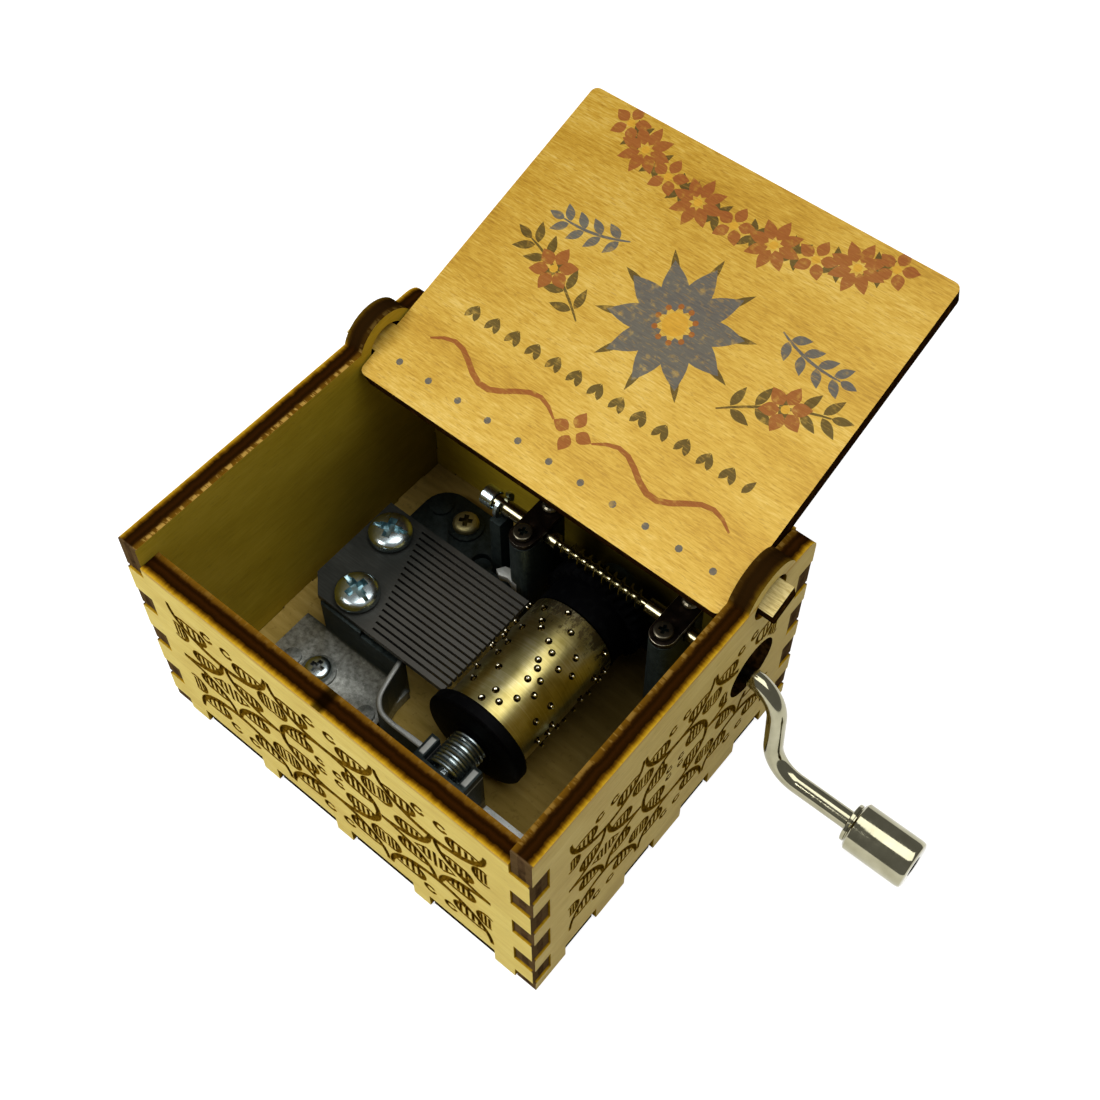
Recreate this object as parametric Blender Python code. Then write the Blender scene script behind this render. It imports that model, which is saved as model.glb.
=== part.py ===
# Hand-cranked music box: a finger-jointed plywood case with a lid on wooden pivots,
# and an eighteen-note movement turned by a bent wire crank.
# Units are metres, +Z is up, the crank leaves on the +X side, the front faces -Y.
# The origin is the centre of the base plate's underside.

import math
import random

import bmesh
import bpy
from mathutils import Matrix, Vector

MM = 0.001

# Fits
SEAT_GAP = 0.25 * MM
RUNNING_GAP = 0.15 * MM

# Plywood case
PLY = 3.0 * MM
BOX_WIDTH = 64.0 * MM
BOX_DEPTH = 53.4 * MM
SIDE_TOP = 39.05 * MM
FRONT_TOP = 35.65 * MM
BACK_TOP = 37.55 * MM
FINGER_PITCH = 8.95 * MM
FINGER_HEIGHT = 5.15 * MM
FINGER_TOP = 33.45 * MM
FINGER_ROWS = 4
FOOT_HEIGHT = 2.4 * MM
WIDE_TAB = 10.5 * MM
WIDE_TAB_PITCH = 13.5 * MM
NARROW_TAB = 5.8 * MM
NARROW_TAB_PITCH = 11.8 * MM
SIDE_CORNER_RADIUS = 2.8 * MM

# Lid and its pivots
LID_THICKNESS = 2.9 * MM
LID_WIDTH = 57.6 * MM
LID_FRONT = 45.4 * MM
LID_HEEL = 5.66 * MM
LID_CORNER = 1.0 * MM
LID_OPEN_DEG = 162.6
PIVOT_Y = 16.9 * MM
PIVOT_Z = 37.35 * MM
PIVOT_TAB = 4.4 * MM
PIVOT_TAB_PROUD = 1.0 * MM
PIVOT_HOLE_RADIUS = 3.2 * MM
EAR_RADIUS = 5.1 * MM

# Crank hole in the right wall
CRANK_HOLE_RADIUS = 4.45 * MM
CRANK_HOLE_Y = 15.5 * MM
CRANK_HOLE_Z = 22.3 * MM

# Pinned cylinder on its arbor
CYL_X = 8.45 * MM
CYL_Z = 12.3 * MM
CYL_RADIUS = 6.45 * MM
CYL_FRONT = -8.5 * MM
CYL_BACK = 9.6 * MM
PIN_HEIGHT = 0.6 * MM
PIN_RADIUS = 0.24 * MM
PIN_COUNT = 84
ARBOR_RADIUS = 1.3 * MM
ARBOR_FRONT = -18.6 * MM
ARBOR_BACK = 20.2 * MM
FLANGE_RADIUS = 7.6 * MM
FLANGE_THICKNESS = 2.2 * MM

# Worm and gear
GEAR_TEETH = 34
WORM_PITCH = 1.37 * MM
WORM_PITCH_RADIUS = 0.95 * MM
WORM_OUTER_RADIUS = 1.32 * MM
WORM_CORE_RADIUS = 0.55 * MM
WORM_START = 1.9 * MM
WORM_TURNS = 10
WORM_STEPS = 14
TOOTH_THICKNESS = 0.585 * MM
FLANK_DEG = 20.0
TIP_CLEARANCE = 0.14 * MM
GEAR_FACE = 3.2 * MM
GEAR_HUB_RADIUS = 6.2 * MM
SHAFT_Y = 15.27 * MM
SHAFT_RADIUS = 1.1 * MM
SHAFT_LEFT = -11.1 * MM
SHAFT_RIGHT = 26.0 * MM
STUB_RADIUS = 0.55 * MM
STUB_LENGTH = 3.0 * MM

# Steel comb
COMB_LEFT = -23.96 * MM
COMB_TIP = 1.17 * MM
COMB_FRONT = -7.96 * MM
COMB_BACK = 9.2 * MM
COMB_BOTTOM = 12.6 * MM
COMB_THICKNESS = 0.9 * MM
COMB_TEETH = 18
TOOTH_SLOT = 0.32 * MM
SLOT_ROOT_BACK = -17.6 * MM
SLOT_ROOT_FRONT = -11.8 * MM
COMB_CHAMFER = 2.6 * MM
COMB_SCREWS = ((-20.25 * MM, 5.2 * MM), (-17.2 * MM, -4.6 * MM))

# Screws
COMB_SCREW_HEAD = 2.9 * MM
COMB_SCREW_HEIGHT = 1.7 * MM
COMB_SCREW_SHANK = 1.2 * MM
COMB_SCREW_LENGTH = 6.0 * MM
WOOD_SCREW_HEAD = 1.95 * MM
WOOD_SCREW_HEIGHT = 1.1 * MM
WOOD_SCREW_SHANK = 0.9 * MM
WOOD_SCREW_POINT = 1.0 * MM
BACK_SCREW = (-17.0 * MM, 16.6 * MM)
FRONT_SCREW = (-16.9 * MM, -13.7 * MM)
RIGHT_SCREW = (22.9 * MM, 0.2 * MM)
STRAP_SCREW_HEAD = 1.5 * MM
STRAP_SCREW_SHANK = 0.8 * MM
STRAP_SCREW_LENGTH = 4.0 * MM
STRAP_SCREW_HEIGHT = 0.7 * MM
STRAP_RIVET_HEAD = 1.2 * MM
STRAP_RIVET_HEIGHT = 0.6 * MM

# Cast movement frame
PLATE_TOP = 5.2 * MM
BOSS_RISE = 0.5 * MM
FRAME_LEFT = -24.6 * MM
FRAME_FRONT = -20.6 * MM
FRAME_BACK = 20.4 * MM
PLATE_RIGHT = -5.6 * MM
SEAT_WALL = 1.0 * MM
SEAT_WALL_TOP = 11.4 * MM
RIB_THICKNESS = 0.8 * MM
RIB_TOP = 12.3 * MM
FORK_TOP = 13.9 * MM
FORK_BACK = -13.4 * MM
FORK_WALL = 1.3 * MM
BEARING_FRONT = -18.8 * MM
BEARING_BACK = -16.65 * MM
RAIL_LEFT = 21.4 * MM
RAIL_RIGHT = 26.2 * MM
BRIDGE_FRONT = 18.1 * MM
BRIDGE_TOP = 9.0 * MM
LEFT_STAND_X = -2.2 * MM
RIGHT_STAND_X = 20.8 * MM
STAND_FRONT_Y = 12.2 * MM
STAND_REAR_Y = 17.9 * MM
STAND_RADIUS = 1.85 * MM

# Straps over the crank shaft
STRAP_THICKNESS = 0.8 * MM
STRAP_BACK = 20.6 * MM

# Spring on the arbor
SPRING_WIRE = 0.24 * MM
SPRING_RADIUS = 2.4 * MM
SPRING_CURLS = 4.5
SPRING_POINTS = 10

# Crank
WIRE_RADIUS = 1.2 * MM
ARM_X = 37.7 * MM
BEND_RADIUS = 5.4 * MM
HANDLE_Y = 12.8 * MM
HANDLE_Z = 8.0 * MM
HANDLE_END = 59.4 * MM
KNOB_START = 51.2 * MM
KNOB_END = 60.0 * MM
KNOB_RADIUS = 3.0 * MM
KNOB_BORE_GAP = 0.1 * MM

# Sizes that follow from the ones above
HALF_W = BOX_WIDTH / 2
PIVOT_TAB_REACH = HALF_W + PIVOT_TAB_PROUD
HALF_D = BOX_DEPTH / 2
FLOOR = PLY
FRAME_BOTTOM = FLOOR + SEAT_GAP
GEAR_PITCH_RADIUS = GEAR_TEETH * WORM_PITCH / (2 * math.pi)
SHAFT_Z = CYL_Z + GEAR_PITCH_RADIUS + WORM_PITCH_RADIUS
GEAR_TIP_RADIUS = SHAFT_Z - CYL_Z - WORM_CORE_RADIUS - TIP_CLEARANCE
GEAR_ROOT_RADIUS = SHAFT_Z - CYL_Z - WORM_OUTER_RADIUS - TIP_CLEARANCE
STRAP_BOTTOM = SHAFT_Z + SHAFT_RADIUS + SEAT_GAP
STAND_TOP = STRAP_BOTTOM - SEAT_GAP
COMB_TOP = COMB_BOTTOM + COMB_THICKNESS
FLANGE_BACK = CYL_FRONT - RUNNING_GAP
FLANGE_FRONT = FLANGE_BACK - FLANGE_THICKNESS
SLOPE = math.tan(math.radians(FLANK_DEG))


def clear_scene():
    for item in list(bpy.data.objects):
        bpy.data.objects.remove(item, do_unlink=True)


def material(name, color, roughness, metallic):
    mat = bpy.data.materials.new(name)
    mat.use_nodes = True
    shader = mat.node_tree.nodes["Principled BSDF"]
    shader.inputs["Base Color"].default_value = (*color, 1.0)
    shader.inputs["Roughness"].default_value = roughness
    shader.inputs["Metallic"].default_value = metallic
    mat.diffuse_color = (*color, 1.0)
    return mat


def finish(bm, name, mat, smooth=False):
    """Turn a bmesh into a named object with one material."""
    bmesh.ops.recalc_face_normals(bm, faces=bm.faces)
    mesh = bpy.data.meshes.new(name)
    bm.to_mesh(mesh)
    bm.free()
    if mat:
        mesh.materials.append(mat)
    if smooth:
        mesh.shade_smooth()
        mesh.set_sharp_from_angle(angle=math.radians(35))
    item = bpy.data.objects.new(name, mesh)
    bpy.context.scene.collection.objects.link(item)
    return item


def add_prism(bm, outline, plane, low, high):
    """Extrude a flat outline: plane XY, XZ or YZ, between low and high on the third axis."""
    place = {
        "XY": lambda u, v, w: (u, v, w),
        "XZ": lambda u, v, w: (u, w, v),
        "YZ": lambda u, v, w: (w, u, v),
    }[plane]
    verts = [bm.verts.new(place(u, v, low)) for u, v in outline]
    face = bm.faces.new(verts)
    grown = bmesh.ops.extrude_face_region(bm, geom=[face], use_keep_orig=True)
    moved = [g for g in grown["geom"] if isinstance(g, bmesh.types.BMVert)]
    shift = Vector(place(0, 0, high)) - Vector(place(0, 0, low))
    bmesh.ops.translate(bm, verts=moved, vec=shift)


def prism(name, outline, plane, low, high, mat=None):
    bm = bmesh.new()
    add_prism(bm, outline, plane, low, high)
    return finish(bm, name, mat)


def box_outline(u0, u1, v0, v1):
    return [(u0, v0), (u1, v0), (u1, v1), (u0, v1)]


def arc(cu, cv, radius, start, end, steps):
    """Points on a circle from start to end, in degrees."""
    points = []
    for k in range(steps + 1):
        a = math.radians(start + (end - start) * k / steps)
        points.append((cu + radius * math.cos(a), cv + radius * math.sin(a)))
    return points


def stadium(cu, v0, v1, radius, steps=10):
    """Outline with round ends, its centres at (cu, v0) and (cu, v1)."""
    return arc(cu, v1, radius, 0, 180, steps) + arc(cu, v0, radius, 180, 360, steps)


def add_turned(bm, profile, origin, axis, steps):
    """Spin a profile of (distance along the axis, radius) into a closed body."""
    along = Vector(axis).normalized()
    side = Vector((0, 0, 1)) if abs(along.z) < 0.5 else Vector((1, 0, 0))
    start = Vector(origin)
    verts = [bm.verts.new(start + along * t + side * r) for t, r in profile]
    edges = [bm.edges.new((verts[k], verts[k + 1])) for k in range(len(verts) - 1)]
    if profile[0][1] > 0 and profile[-1][1] > 0:
        edges.append(bm.edges.new((verts[-1], verts[0])))
    bmesh.ops.spin(bm, geom=verts + edges, cent=start, axis=along, angle=2 * math.pi,
                   steps=steps, use_merge=True)
    bmesh.ops.remove_doubles(bm, verts=bm.verts, dist=1e-7)


def turned(name, profile, origin, axis, steps, mat=None):
    bm = bmesh.new()
    add_turned(bm, profile, origin, axis, steps)
    return finish(bm, name, mat, smooth=True)


def rod(name, radius, low, high, origin, axis, steps=20, mat=None):
    return turned(name, [(low, 0), (low, radius), (high, radius), (high, 0)],
                  origin, axis, steps, mat)


def boolean(target, tool, operation):
    """Apply one exact Boolean and drop the tool."""
    step = target.modifiers.new("cut", "BOOLEAN")
    step.operation = operation
    step.solver = "EXACT"
    step.object = tool
    bpy.context.view_layer.update()
    graph = bpy.context.evaluated_depsgraph_get()
    result = bpy.data.meshes.new_from_object(target.evaluated_get(graph))
    target.modifiers.clear()
    target.data = result
    bpy.data.objects.remove(tool, do_unlink=True)


def cut(target, tool):
    boolean(target, tool, "DIFFERENCE")


def join(target, tool):
    boolean(target, tool, "UNION")


def smooth_again(item, degrees=35):
    item.data.shade_smooth()
    item.data.set_sharp_from_angle(angle=math.radians(degrees))


# Fingers of the front and back walls, as (low, high) along Z
def wall_fingers():
    rows = []
    for k in range(FINGER_ROWS):
        high = FINGER_TOP - FINGER_PITCH * k
        low = max(high - FINGER_HEIGHT, FOOT_HEIGHT)
        rows.append((low, high))
    return rows[::-1]


def foot_line(half, tab, pitch, count):
    """Bottom edge of a wall with the notches that the base plate's tabs fill."""
    top = FLOOR + SEAT_GAP / 2
    points = []
    for k in range(count):
        mid = (k - (count - 1) / 2) * pitch
        a = mid - tab / 2 - SEAT_GAP / 2
        b = mid + tab / 2 + SEAT_GAP / 2
        points += [(a, 0), (a, top), (b, top), (b, 0)]
    return points


def make_front_or_back(name, y0, y1, top, mat):
    inner = HALF_W - PLY - SEAT_GAP / 2
    side = [(inner, 0)]
    for low, high in wall_fingers():
        a = low + SEAT_GAP / 2
        b = high - SEAT_GAP / 2
        side += [(inner, a), (HALF_W, a), (HALF_W, b), (inner, b)]
    side.append((inner, top))
    mirrored = [(-u, v) for u, v in reversed(side)]
    outline = foot_line(inner, WIDE_TAB, WIDE_TAB_PITCH, 4) + side + mirrored
    return prism(name, outline, "XZ", y0, y1, mat)


def side_outline():
    inner = HALF_D - PLY - SEAT_GAP / 2
    edge = [(HALF_D, 0)]
    for low, high in wall_fingers():
        a = low - SEAT_GAP / 2
        b = high + SEAT_GAP / 2
        edge += [(HALF_D, a), (inner, a), (inner, b), (HALF_D, b)]
    corner = arc(HALF_D - SIDE_CORNER_RADIUS, SIDE_TOP - SIDE_CORNER_RADIUS,
                 SIDE_CORNER_RADIUS, 0, 90, 6)
    rise = math.degrees(math.asin(min(1.0, (SIDE_TOP - PIVOT_Z) / EAR_RADIUS)))
    ear = arc(PIVOT_Y, PIVOT_Z, EAR_RADIUS, rise, 180 - rise, 14)
    front = [(-u, v) for u, v in reversed(edge)]
    top_front = [(-HALF_D, SIDE_TOP)]
    return foot_line(inner, NARROW_TAB, NARROW_TAB_PITCH, 4) + edge + corner + ear + top_front + front


def make_side(name, x0, x1, mat):
    wall = prism(name, side_outline(), "YZ", x0, x1, mat)
    hole = rod("hole", PIVOT_HOLE_RADIUS, x0 - PLY, x1 + PLY, (0, PIVOT_Y, PIVOT_Z), (1, 0, 0), 32)
    cut(wall, hole)
    return wall


def make_base(mat):
    inner_x = HALF_W - PLY - SEAT_GAP / 2
    inner_y = HALF_D - PLY - SEAT_GAP / 2
    right = []
    for k in range(4):
        mid = (k - 1.5) * NARROW_TAB_PITCH
        a = mid - NARROW_TAB / 2 + SEAT_GAP / 2
        b = mid + NARROW_TAB / 2 - SEAT_GAP / 2
        right += [(inner_x, a), (HALF_W, a), (HALF_W, b), (inner_x, b)]
    back = []
    for k in range(4):
        mid = (1.5 - k) * WIDE_TAB_PITCH
        a = mid + WIDE_TAB / 2 - SEAT_GAP / 2
        b = mid - WIDE_TAB / 2 + SEAT_GAP / 2
        back += [(a, inner_y), (a, HALF_D), (b, HALF_D), (b, inner_y)]
    left = [(-u, -v) for u, v in right]
    front = [(-u, -v) for u, v in back]
    outline = [(inner_x, -inner_y)] + right + [(inner_x, inner_y)] + back
    outline += [(-inner_x, inner_y)] + left + [(-inner_x, -inner_y)] + front
    plate = prism("base_plate", outline, "XY", 0, FLOOR, mat)
    for x, y in (BACK_SCREW, FRONT_SCREW, RIGHT_SCREW):
        cut(plate, rod("hole", WOOD_SCREW_SHANK + RUNNING_GAP, -PLY, 2 * PLY, (x, y, 0), (0, 0, 1), 16))
    return plate


def make_lid(mat):
    """The lid lies flat in its own frame, which turns about the pivots."""
    half = LID_WIDTH / 2
    tab = PIVOT_TAB / 2
    r = LID_CORNER
    outline = arc(half - r, LID_HEEL - r, r, 0, 90, 4)
    outline += arc(-half + r, LID_HEEL - r, r, 90, 180, 4)
    outline += [(-half, tab), (-PIVOT_TAB_REACH, tab), (-PIVOT_TAB_REACH, -tab), (-half, -tab)]
    outline += arc(-half + r, -LID_FRONT + r, r, 180, 270, 4)
    outline += arc(half - r, -LID_FRONT + r, r, 270, 360, 4)
    outline += [(half, -tab), (PIVOT_TAB_REACH, -tab), (PIVOT_TAB_REACH, tab), (half, tab)]
    lid = prism("lid", outline, "XY", -LID_THICKNESS / 2, LID_THICKNESS / 2, mat)
    lid.location = (0, PIVOT_Y, PIVOT_Z)
    lid.rotation_euler = (math.radians(-LID_OPEN_DEG), 0, 0)
    return lid


def rib_outline():
    """A thin wall of constant thickness along a smooth S from the comb seat to the fork."""
    path = [Vector((-6.6, -7.8)), Vector((-6.3, -9.2)), Vector((-5.8, -11.3)), Vector((-5.2, -13.2)),
            Vector((-3.9, -14.6)), Vector((-2.0, -15.1)), Vector((1.5, -15.1)), Vector((4.9, -15.1))]
    path = [p * MM for p in path]
    fine = []
    for k in range(len(path) - 1):
        before = path[max(k - 1, 0)]
        after = path[min(k + 2, len(path) - 1)]
        a, b = path[k], path[k + 1]
        for s in range(3):
            t = s / 3
            fine.append(0.5 * ((2 * a) + (b - before) * t + (2 * before - 5 * a + 4 * b - after) * t * t
                               + (3 * a - before - 3 * b + after) * t ** 3))
    fine.append(path[-1])
    one, two = [], []
    for k, p in enumerate(fine):
        along = (fine[min(k + 1, len(fine) - 1)] - fine[max(k - 1, 0)]).normalized()
        side = Vector((-along.y, along.x)) * RIB_THICKNESS / 2
        one.append(tuple(p + side))
        two.append(tuple(p - side))
    return one + two[::-1]


def make_frame(mat):
    z0 = FRAME_BOTTOM
    frame = prism("movement_frame", box_outline(FRAME_LEFT, PLATE_RIGHT, FRAME_FRONT, COMB_FRONT),
                  "XY", z0, PLATE_TOP, mat)
    back_right = LEFT_STAND_X + STAND_RADIUS
    lobe = [(-9.5 * MM, 4 * MM)] + arc(-14.5 * MM, FRAME_BACK - 5 * MM, 5 * MM, 0, 90, 6)
    lobe += arc(FRAME_LEFT + 4 * MM, FRAME_BACK - 4 * MM, 4 * MM, 90, 180, 6) + [(FRAME_LEFT, 4 * MM)]
    join(frame, prism("back_lobe", lobe, "XY", z0, PLATE_TOP))
    link = box_outline(-13 * MM, back_right - 0.4 * MM, 10.6 * MM, 17 * MM)
    join(frame, prism("link", link, "XY", z0, PLATE_TOP - 0.2 * MM))

    # Raised seat that the comb is screwed to, and the wall below the comb's front edge
    seat_left = COMB_LEFT + 0.3 * MM
    seat_front = COMB_FRONT - 0.35 * MM
    seat_back = COMB_BACK - 0.3 * MM
    seat = [(seat_left, seat_back), (seat_left, seat_front + COMB_CHAMFER + 0.4 * MM),
            (seat_left + COMB_CHAMFER + 0.4 * MM, seat_front), (-13.4 * MM, seat_front),
            (-19.0 * MM, seat_back)]
    join(frame, prism("seat", seat, "XY", z0, COMB_BOTTOM - SEAT_GAP))
    wall = box_outline(-15 * MM, -6.2 * MM, seat_front, seat_front + SEAT_WALL)
    join(frame, prism("seat_wall", wall, "XY", z0, SEAT_WALL_TOP))
    join(frame, prism("rib", rib_outline(), "XY", z0 + 0.1 * MM, RIB_TOP))

    # Ring round the cylinder: front bar, right rail, back bridge
    join(frame, prism("front_bar", box_outline(-8 * MM, RAIL_RIGHT, FRAME_FRONT, -14.4 * MM),
                      "XY", z0, PLATE_TOP - 0.1 * MM))
    join(frame, prism("rail", box_outline(RAIL_LEFT, RAIL_RIGHT, -19 * MM, 19 * MM),
                      "XY", z0, PLATE_TOP + 0.1 * MM))
    join(frame, prism("bridge", box_outline(-9 * MM, RAIL_RIGHT - 0.5 * MM, BRIDGE_FRONT, FRAME_BACK),
                      "XY", z0, BRIDGE_TOP))

    # Bearings of the arbor: a plate with a fork in front, an arch at the back
    fork_half = SPRING_RADIUS + SPRING_WIRE + SEAT_GAP + FORK_WALL
    join(frame, prism("bearing", box_outline(CYL_X - fork_half, CYL_X + fork_half, z0, FORK_TOP),
                      "XZ", BEARING_FRONT, BEARING_BACK))
    for side in (-1, 1):
        u0, u1 = sorted((CYL_X + side * (fork_half - FORK_WALL), CYL_X + side * fork_half))
        join(frame, prism("fork", box_outline(u0, u1, z0, FORK_TOP - 0.05 * MM),
                          "XZ", BEARING_BACK - 0.5 * MM, FORK_BACK))
    arch = [(CYL_X + 3.6 * MM, BRIDGE_TOP - 2 * MM)] + arc(CYL_X, CYL_Z, 3.2 * MM, 0, 180, 10)
    arch += [(CYL_X - 3.6 * MM, BRIDGE_TOP - 2 * MM)]
    join(frame, prism("arch", arch, "XZ", BRIDGE_FRONT + 0.1 * MM, FRAME_BACK - 0.1 * MM))

    # Stands that carry the crank shaft, and the post at its free end
    for x in (LEFT_STAND_X, RIGHT_STAND_X):
        join(frame, prism("stand", stadium(x, STAND_FRONT_Y, STAND_REAR_Y, STAND_RADIUS),
                          "XY", z0 + 0.2 * MM, STAND_TOP))
    join(frame, prism("post", box_outline(-9.2 * MM, -7.4 * MM, 13.4 * MM, 16.2 * MM),
                      "XY", z0 + 0.3 * MM, 18.4 * MM))
    ear = [(-6.1 * MM, 10.9 * MM), (-5.2 * MM, 10.4 * MM), (-4.0 * MM, 10.8 * MM),
           (-2.6 * MM, 10.5 * MM), (-2.2 * MM, 11.2 * MM), (-3.4 * MM, 12.4 * MM), (-5.4 * MM, 12.0 * MM)]
    join(frame, prism("ear", ear, "XY", 10.9 * MM, 12.1 * MM))

    # Round bosses under the screws and beside them
    bosses = ((BACK_SCREW, 2.6 * MM), (FRONT_SCREW, 2.5 * MM), (RIGHT_SCREW, 3.1 * MM),
              ((-22.2 * MM, 17.1 * MM), 1.7 * MM), ((-21.3 * MM, -14.3 * MM), 1.3 * MM),
              ((-7.6 * MM, -14.3 * MM), 1.3 * MM))
    for (x, y), r in bosses:
        join(frame, rod("boss", r, z0 + 0.15 * MM, PLATE_TOP + BOSS_RISE, (x, y, 0), (0, 0, 1), 16))

    # Holes: screws, the recess in the lobe, arbor bearings, the shaft's grooves
    for x, y in (BACK_SCREW, FRONT_SCREW, RIGHT_SCREW):
        cut(frame, rod("hole", WOOD_SCREW_SHANK + RUNNING_GAP, 0, 10 * MM, (x, y, 0), (0, 0, 1), 16))
    for x, y in COMB_SCREWS:
        cut(frame, rod("hole", COMB_SCREW_SHANK + RUNNING_GAP, COMB_TOP - COMB_SCREW_LENGTH - 1 * MM,
                       COMB_TOP, (x, y, 0), (0, 0, 1), 16))
    cut(frame, rod("recess", 1.5 * MM, PLATE_TOP - 1.2 * MM, PLATE_TOP + 1 * MM,
                   (-11.4 * MM, 13.5 * MM, 0), (0, 0, 1)))
    cut(frame, rod("bearing_hole", ARBOR_RADIUS + RUNNING_GAP, FRAME_FRONT, FRAME_BACK + 5 * MM,
                   (CYL_X, 0, CYL_Z), (0, 1, 0)))
    groove_half = SHAFT_RADIUS + RUNNING_GAP
    groove = [(SHAFT_Y + groove_half, STAND_TOP + 1 * MM), (SHAFT_Y - groove_half, STAND_TOP + 1 * MM)]
    groove += arc(SHAFT_Y, SHAFT_Z, groove_half, 180, 360, 12)
    cut(frame, prism("groove", groove, "YZ", -6 * MM, 24 * MM))
    for x in (LEFT_STAND_X, RIGHT_STAND_X):
        for y in (STAND_FRONT_Y, STAND_REAR_Y):
            cut(frame, rod("hole", STRAP_SCREW_SHANK + RUNNING_GAP, STAND_TOP - STRAP_SCREW_LENGTH - 1 * MM,
                           STAND_TOP + 1 * MM, (x, y, 0), (0, 0, 1), 16))
    smooth_again(frame)
    return frame


def make_comb(mat):
    """One steel plate sawn into eighteen teeth, each slot ending on a slanted line."""
    pitch = (COMB_BACK - COMB_FRONT) / COMB_TEETH
    outline = [(COMB_LEFT, COMB_BACK), (COMB_LEFT, COMB_FRONT + COMB_CHAMFER),
               (COMB_LEFT + COMB_CHAMFER, COMB_FRONT)]
    for k in range(COMB_TEETH):
        low = COMB_FRONT + k * pitch
        high = low + pitch
        first = low if k == 0 else low + TOOTH_SLOT / 2
        last = high if k == COMB_TEETH - 1 else high - TOOTH_SLOT / 2
        outline += [(COMB_TIP, first), (COMB_TIP, last)]
        if k < COMB_TEETH - 1:
            t = (high - COMB_FRONT) / (COMB_BACK - COMB_FRONT)
            root = SLOT_ROOT_FRONT + (SLOT_ROOT_BACK - SLOT_ROOT_FRONT) * t
            outline += [(root, last), (root, last + TOOTH_SLOT)]
    comb = prism("comb", outline, "XY", COMB_BOTTOM, COMB_TOP, mat)
    for x, y in COMB_SCREWS:
        cut(comb, rod("hole", COMB_SCREW_SHANK + RUNNING_GAP, 0, 20 * MM, (x, y, 0), (0, 0, 1), 16))
    return comb


def screw(name, x, y, seat, head, height, shank, length, mat):
    """Screw with a domed head that sits on seat and a plain shank below it."""
    dome = [(height * math.sin(math.radians(a)), head * (0.55 + 0.45 * math.cos(math.radians(a))))
            for a in (40, 70)]
    profile = [(-length, 0), (-length, shank), (0, shank), (0, head * 0.96), (height * 0.3, head)]
    profile += dome + [(height, 0)]
    return turned(name, profile, (x, y, seat), (0, 0, 1), 14, mat)


def pin_places():
    """Angle and track of each pin: a seeded tune that keeps the notes of a track apart."""
    rng = random.Random(18)
    pitch = (COMB_BACK - COMB_FRONT) / COMB_TEETH
    used = {}
    places = []
    while len(places) < PIN_COUNT:
        beat = rng.randrange(60)
        track = rng.randrange(COMB_TEETH)
        taken = used.setdefault(track, [])
        if all(min((beat - b) % 60, (b - beat) % 60) > 5 for b in taken):
            if (beat, track - 1) in places or (beat, track + 1) in places:
                continue
            taken.append(beat)
            places.append((beat, track))
    return [(math.radians(6 * beat + 1.5), COMB_FRONT + (track + 0.5) * pitch) for beat, track in places]


def make_cylinder(mat):
    bore = ARBOR_RADIUS + RUNNING_GAP
    body = turned("pinned_cylinder", [(CYL_FRONT, bore), (CYL_FRONT, CYL_RADIUS), (CYL_BACK, CYL_RADIUS),
                                      (CYL_BACK, bore)], (CYL_X, 0, CYL_Z), (0, 1, 0), 48, mat)
    bm = bmesh.new()
    for angle, y in pin_places():
        out = Vector((math.cos(angle), 0, math.sin(angle)))
        turn = out.to_track_quat("Z", "Y").to_matrix().to_4x4()
        mid = (CYL_RADIUS + PIN_HEIGHT / 2 - 0.3 * MM)
        spot = Matrix.Translation(Vector((CYL_X, y, CYL_Z)) + out * mid)
        bmesh.ops.create_cone(bm, cap_ends=True, segments=5, radius1=PIN_RADIUS, radius2=PIN_RADIUS * 0.8,
                              depth=PIN_HEIGHT + 0.6 * MM, matrix=spot @ turn)
    pins = finish(bm, "pins", None)
    join(body, pins)
    smooth_again(body, 30)
    return body


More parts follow.
